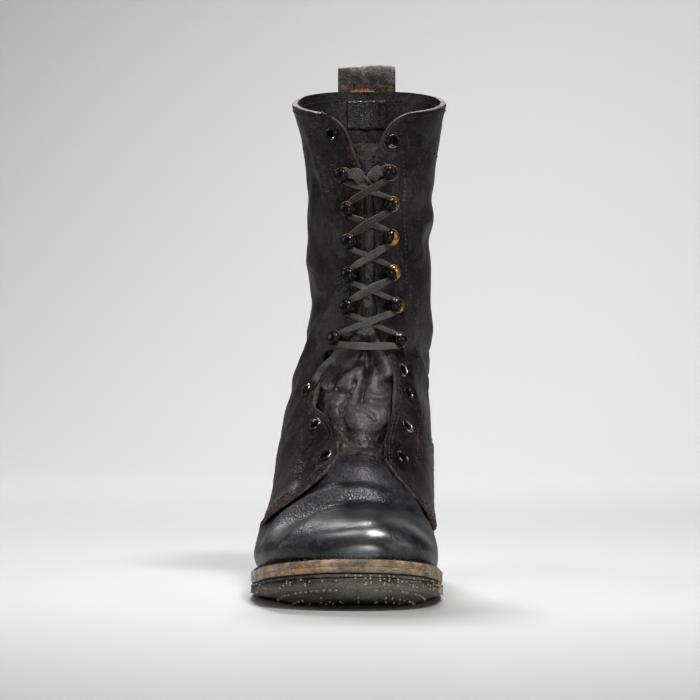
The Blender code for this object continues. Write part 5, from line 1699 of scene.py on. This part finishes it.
def make_loop():
    """A strap whose back leg is sewn to the shaft and whose front leg goes into the collar's edge."""
    xs = np.linspace(-0.5, 0.5, 25) * LOOP_WIDTH
    outer, inner = loop_skins(xs)
    outer = outer + unit(outer - inner) * (0.00018 * ripple(outer, 0.012, 31))[..., None]
    points, faces = closed_shell(outer, inner, grid_faces(*outer.shape[:2]))
    paint = np.zeros((*outer.shape[:2], 4))
    paint[..., 0] = 0.5 * (1 - ease((0.5 - np.abs(xs / LOOP_WIDTH)) / 0.03))
    paint[..., 1] = 0.45 + 0.15 * ripple(outer, 0.008, 33)
    paint = on_both(paint, paint * [0, 1, 1, 1] + [0.8, 0, 0, 0])
    add_piece("pull_loop_strap", points, faces, LOOP, ["pull_loop"], paint, 60)
    rows = []
    on_strap = STRAP_MIDDLE - STRAP_REACH - STRAP_WALL / 2
    backward = np.array([0.0, 1.0, 0.0])
    for x in (-STRAP_STITCH_X, STRAP_STITCH_X):
        path = back_at(x, np.linspace(LAST_ROW - 0.78, LAST_ROW - 0.02, 60), on_strap)
        rows.append(stitch_row(path, backward, seed=2))
    for row in (LAST_ROW - 0.74, LAST_ROW - 0.12):
        path = back_at(np.linspace(-STRAP_STITCH_X, STRAP_STITCH_X, 40), row, on_strap)
        rows.append(stitch_row(path, backward, seed=3))
    for column in (2, 22):
        rows.append(stitch_row(outer[24:, column], -backward, 0.0024, 0.0014, 0.00022, 0.0001, 0.1, 5))
    add_stitches("loop_stitches", rows, DARK_THREAD)


def make_raw_patch():
    """Torn tan leather that shows at the foot of the loop."""
    xs = np.linspace(-0.0105, 0.0058, 26)
    base = back_at(xs, LAST_ROW, 0.0010)
    share = (xs - xs[0]) / (xs[-1] - xs[0])
    height = 0.0026 * np.sin(math.pi * share) ** 0.5 * (0.8 + 0.35 * np.sin(xs * 2600) * np.sin(xs * 900 + 1))
    front, back = [], []
    for k in np.linspace(0, 1, 5):
        up = np.array([0, 0, 1.0]) * (height * k - 0.0006)[:, None]
        thick = 0.0007 * (1 - 0.8 * k)
        torn = 0.0016 + thick + 0.0002 * np.sin(xs * 4000 + 3 * k)
        front.append(base + up - np.array([0, 1.0, 0]) * torn[:, None])
        back.append(base + up + np.array([0, 1.0, 0]) * thick)
    points, faces = closed_shell(np.array(front), np.array(back), grid_faces(5, len(xs)))
    paint = np.zeros((len(points), 4))
    paint[:, 0] = 0.9
    add_piece("raw_leather_tuft", points, faces, TAN, (), paint, 50)


def make_lining_patch():
    """The stitched backing on the inside of the back, with its seams and the lining's edge."""
    xs = np.linspace(-0.0128, 0.0130, 30)
    rows = np.linspace(LAST_ROW - 0.13, LAST_ROW - 0.60, 26)
    x, row = np.meshgrid(xs, rows)
    edge = np.minimum(np.minimum(np.abs(x - xs[0]), np.abs(x - xs[-1])) / 0.0012,
                      np.minimum(np.abs(row - rows[0]), np.abs(row - rows[-1])) / 0.03)
    thick = 0.0012 * np.sqrt(ease(edge)) + 0.0002
    groove = -0.0005 * bell(x, 0.0010, 0.0004)
    front = back_at(x, row, UPPER_WALL + thick + groove)
    back = back_at(x, row, UPPER_WALL - 0.0002)
    points, faces = closed_shell(front, back, grid_faces(*x.shape))
    paint = np.zeros((len(points), 4))
    worn = 0.5 * bell(x, 0.0010, 0.0010) + 0.6 * (1 - ease(edge)) * (row < rows[0] - 0.3)
    paint[: x.size, 1] = np.clip(worn + 0.4 * (1 - ease(edge / 0.6)), 0, 1).ravel()
    add_piece("backing", points, faces, LINING, (), paint, 50)
    fine = dict(pitch=0.0021, length=0.0013, radius=0.00024, lift=0.0001, skip=0.05)
    inward = np.array([0.0, -1.0, 0.0])
    stitches = []
    for place in (-0.0153, -0.0178, 0.0155, 0.0178):
        path = back_at(place, np.linspace(LAST_ROW - 0.06, LAST_ROW - 0.66, 60), ON_LINING)
        stitches.append(stitch_row(path, inward, seed=6, **fine))
    for below, reach, inset in ((0.10, 0.0185, ON_LINING), (0.175, 0.0118, UPPER_WALL + 0.0014)):
        path = back_at(np.linspace(-reach, reach, 50), LAST_ROW - below, inset)
        stitches.append(stitch_row(path, inward, seed=7, **fine))
    for side, _ in SIDES:
        path = upper_at(LAST_ROW - 0.13, side, np.linspace(0.02, 0.86, 120), ON_LINING)
        toward_middle = unit((path.mean(0) * [0, 1, 1] - path) * [1, 1, 0])
        stitches.append(stitch_row(path, toward_middle, 0.0026, 0.0016, 0.00024, 0.0001, 0.05, 9))
    add_stitches("lining_stitches", stitches, DARK_THREAD)


def tan_leather():
    s = Shade("raw_leather")
    fibre = s.noise(1.0, 5, 0.7, place=s.stretched((1500, 900, 600)))
    return s.set(colour=s.mix(fibre, rgb(0.16, 0.075, 0.026), rgb(0.62, 0.40, 0.20)), roughness=0.85,
                 normal=s.bump(fibre, 0.0004, 0.8))


TAN = tan_leather()
make_loop()
make_raw_patch()
make_lining_patch()


# Floor, camera and light

FLOOR_HALF_WIDTH = 4.0
FLOOR_FRONT = -3.0
FLOOR_BACK = 1.4
WALL_BEND = 1.2
WALL_HEIGHT = 4.0
PICTURE_PIXELS = 700
FOCAL_PIXELS = 2949
SENSOR = 36.0
CAMERA_AHEAD_OF_TOE = 1.575
CAMERA_ASIDE = 0.058
CAMERA_UP = 0.140


def make_stage():
    """A pale floor that bends up into a wall behind the boot."""
    s = Shade("pale_floor")
    tone = s.mix(s.noise(2.0, 2, 0.5), rgb(0.56, 0.56, 0.56), rgb(0.58, 0.58, 0.58))
    s.set(colour=tone, roughness=0.55, specular=0.3)
    profile = [(FLOOR_FRONT, 0.0), (FLOOR_BACK, 0.0)]
    for a in np.linspace(0, math.pi / 2, 24)[1:]:
        profile.append((FLOOR_BACK + WALL_BEND * math.sin(a), WALL_BEND - WALL_BEND * math.cos(a)))
    profile.append((FLOOR_BACK + WALL_BEND, WALL_HEIGHT))
    points = [(x, y, z) for y, z in profile for x in (-FLOOR_HALF_WIDTH, FLOOR_HALF_WIDTH)]
    faces = [(2 * i, 2 * i + 1, 2 * i + 3, 2 * i + 2) for i in range(len(profile) - 1)]
    mesh = bpy.data.meshes.new("floor")
    mesh.from_pydata(points, [], faces)
    mesh.materials.append(s.material)
    mesh.shade_smooth()
    add_object("floor", mesh)


def place_camera():
    """Ahead of the toe and a little to its inner side, level, and turned to the middle of the boot."""
    data = bpy.data.cameras.new("camera")
    data.sensor_width = SENSOR
    data.lens = SENSOR * FOCAL_PIXELS / PICTURE_PIXELS
    data.dof.use_dof = False
    data.clip_end = 20.0
    camera = add_object("camera", data)
    camera.location = (CAMERA_ASIDE, back_to_y(0.0) - CAMERA_AHEAD_OF_TOE, CAMERA_UP)
    camera.rotation_euler = (math.pi / 2, 0.0, math.atan2(CAMERA_ASIDE, CAMERA_AHEAD_OF_TOE))
    bpy.context.scene.camera = camera


def area_light(name, location, target, energy, size, size_y=None, spread=60):
    data = bpy.data.lights.new(name, "AREA")
    data.energy = energy
    data.spread = math.radians(spread)
    data.shape = "RECTANGLE"
    data.size = size
    data.size_y = size_y or size
    light = add_object(name, data)
    light.location = location
    light.rotation_euler = (Vector(target) - Vector(location)).to_track_quat("-Z", "Y").to_euler()


def make_light():
    """Soft lights: one strong one behind and above, weak ones in front, and one for the wall."""
    world = bpy.data.worlds.new("studio")
    bpy.context.scene.world = world
    world.use_nodes = True
    background = world.node_tree.nodes["Background"]
    background.inputs["Color"].default_value = (0.96, 0.98, 1.0, 1.0)
    background.inputs["Strength"].default_value = 0.03
    area_light("key", (0.40, -0.70, 1.58), (0.0, -0.14, 0.10), 1.35, 0.30)
    area_light("second", (-0.46, -0.50, 1.60), (0.0, -0.12, 0.10), 0.26, 0.36)
    area_light("top", (-0.10, 1.30, 1.90), (0.0, -0.1, 0.0), 34, 0.42, spread=180)
    area_light("side", (-1.7, -0.1, 0.9), (0.0, 0.0, 0.15), 0.6, 0.8)
    area_light("side_inner", (1.7, -0.9, 0.7), (0.0, -0.1, 0.12), 0.45, 0.8)
    area_light("low_front", (0.25, -2.6, 0.34), (0.0, -0.2, 0.12), 0.52, 1.0, 0.4, 40)
    area_light("backdrop", (0.7, 0.8, 1.7), (-0.05, 2.6, 0.85), 11.5, 1.5, spread=115)
    bpy.context.scene.view_settings.view_transform = "Standard"
    bpy.context.scene.view_settings.look = "High Contrast"


make_stage()
place_camera()
make_light()
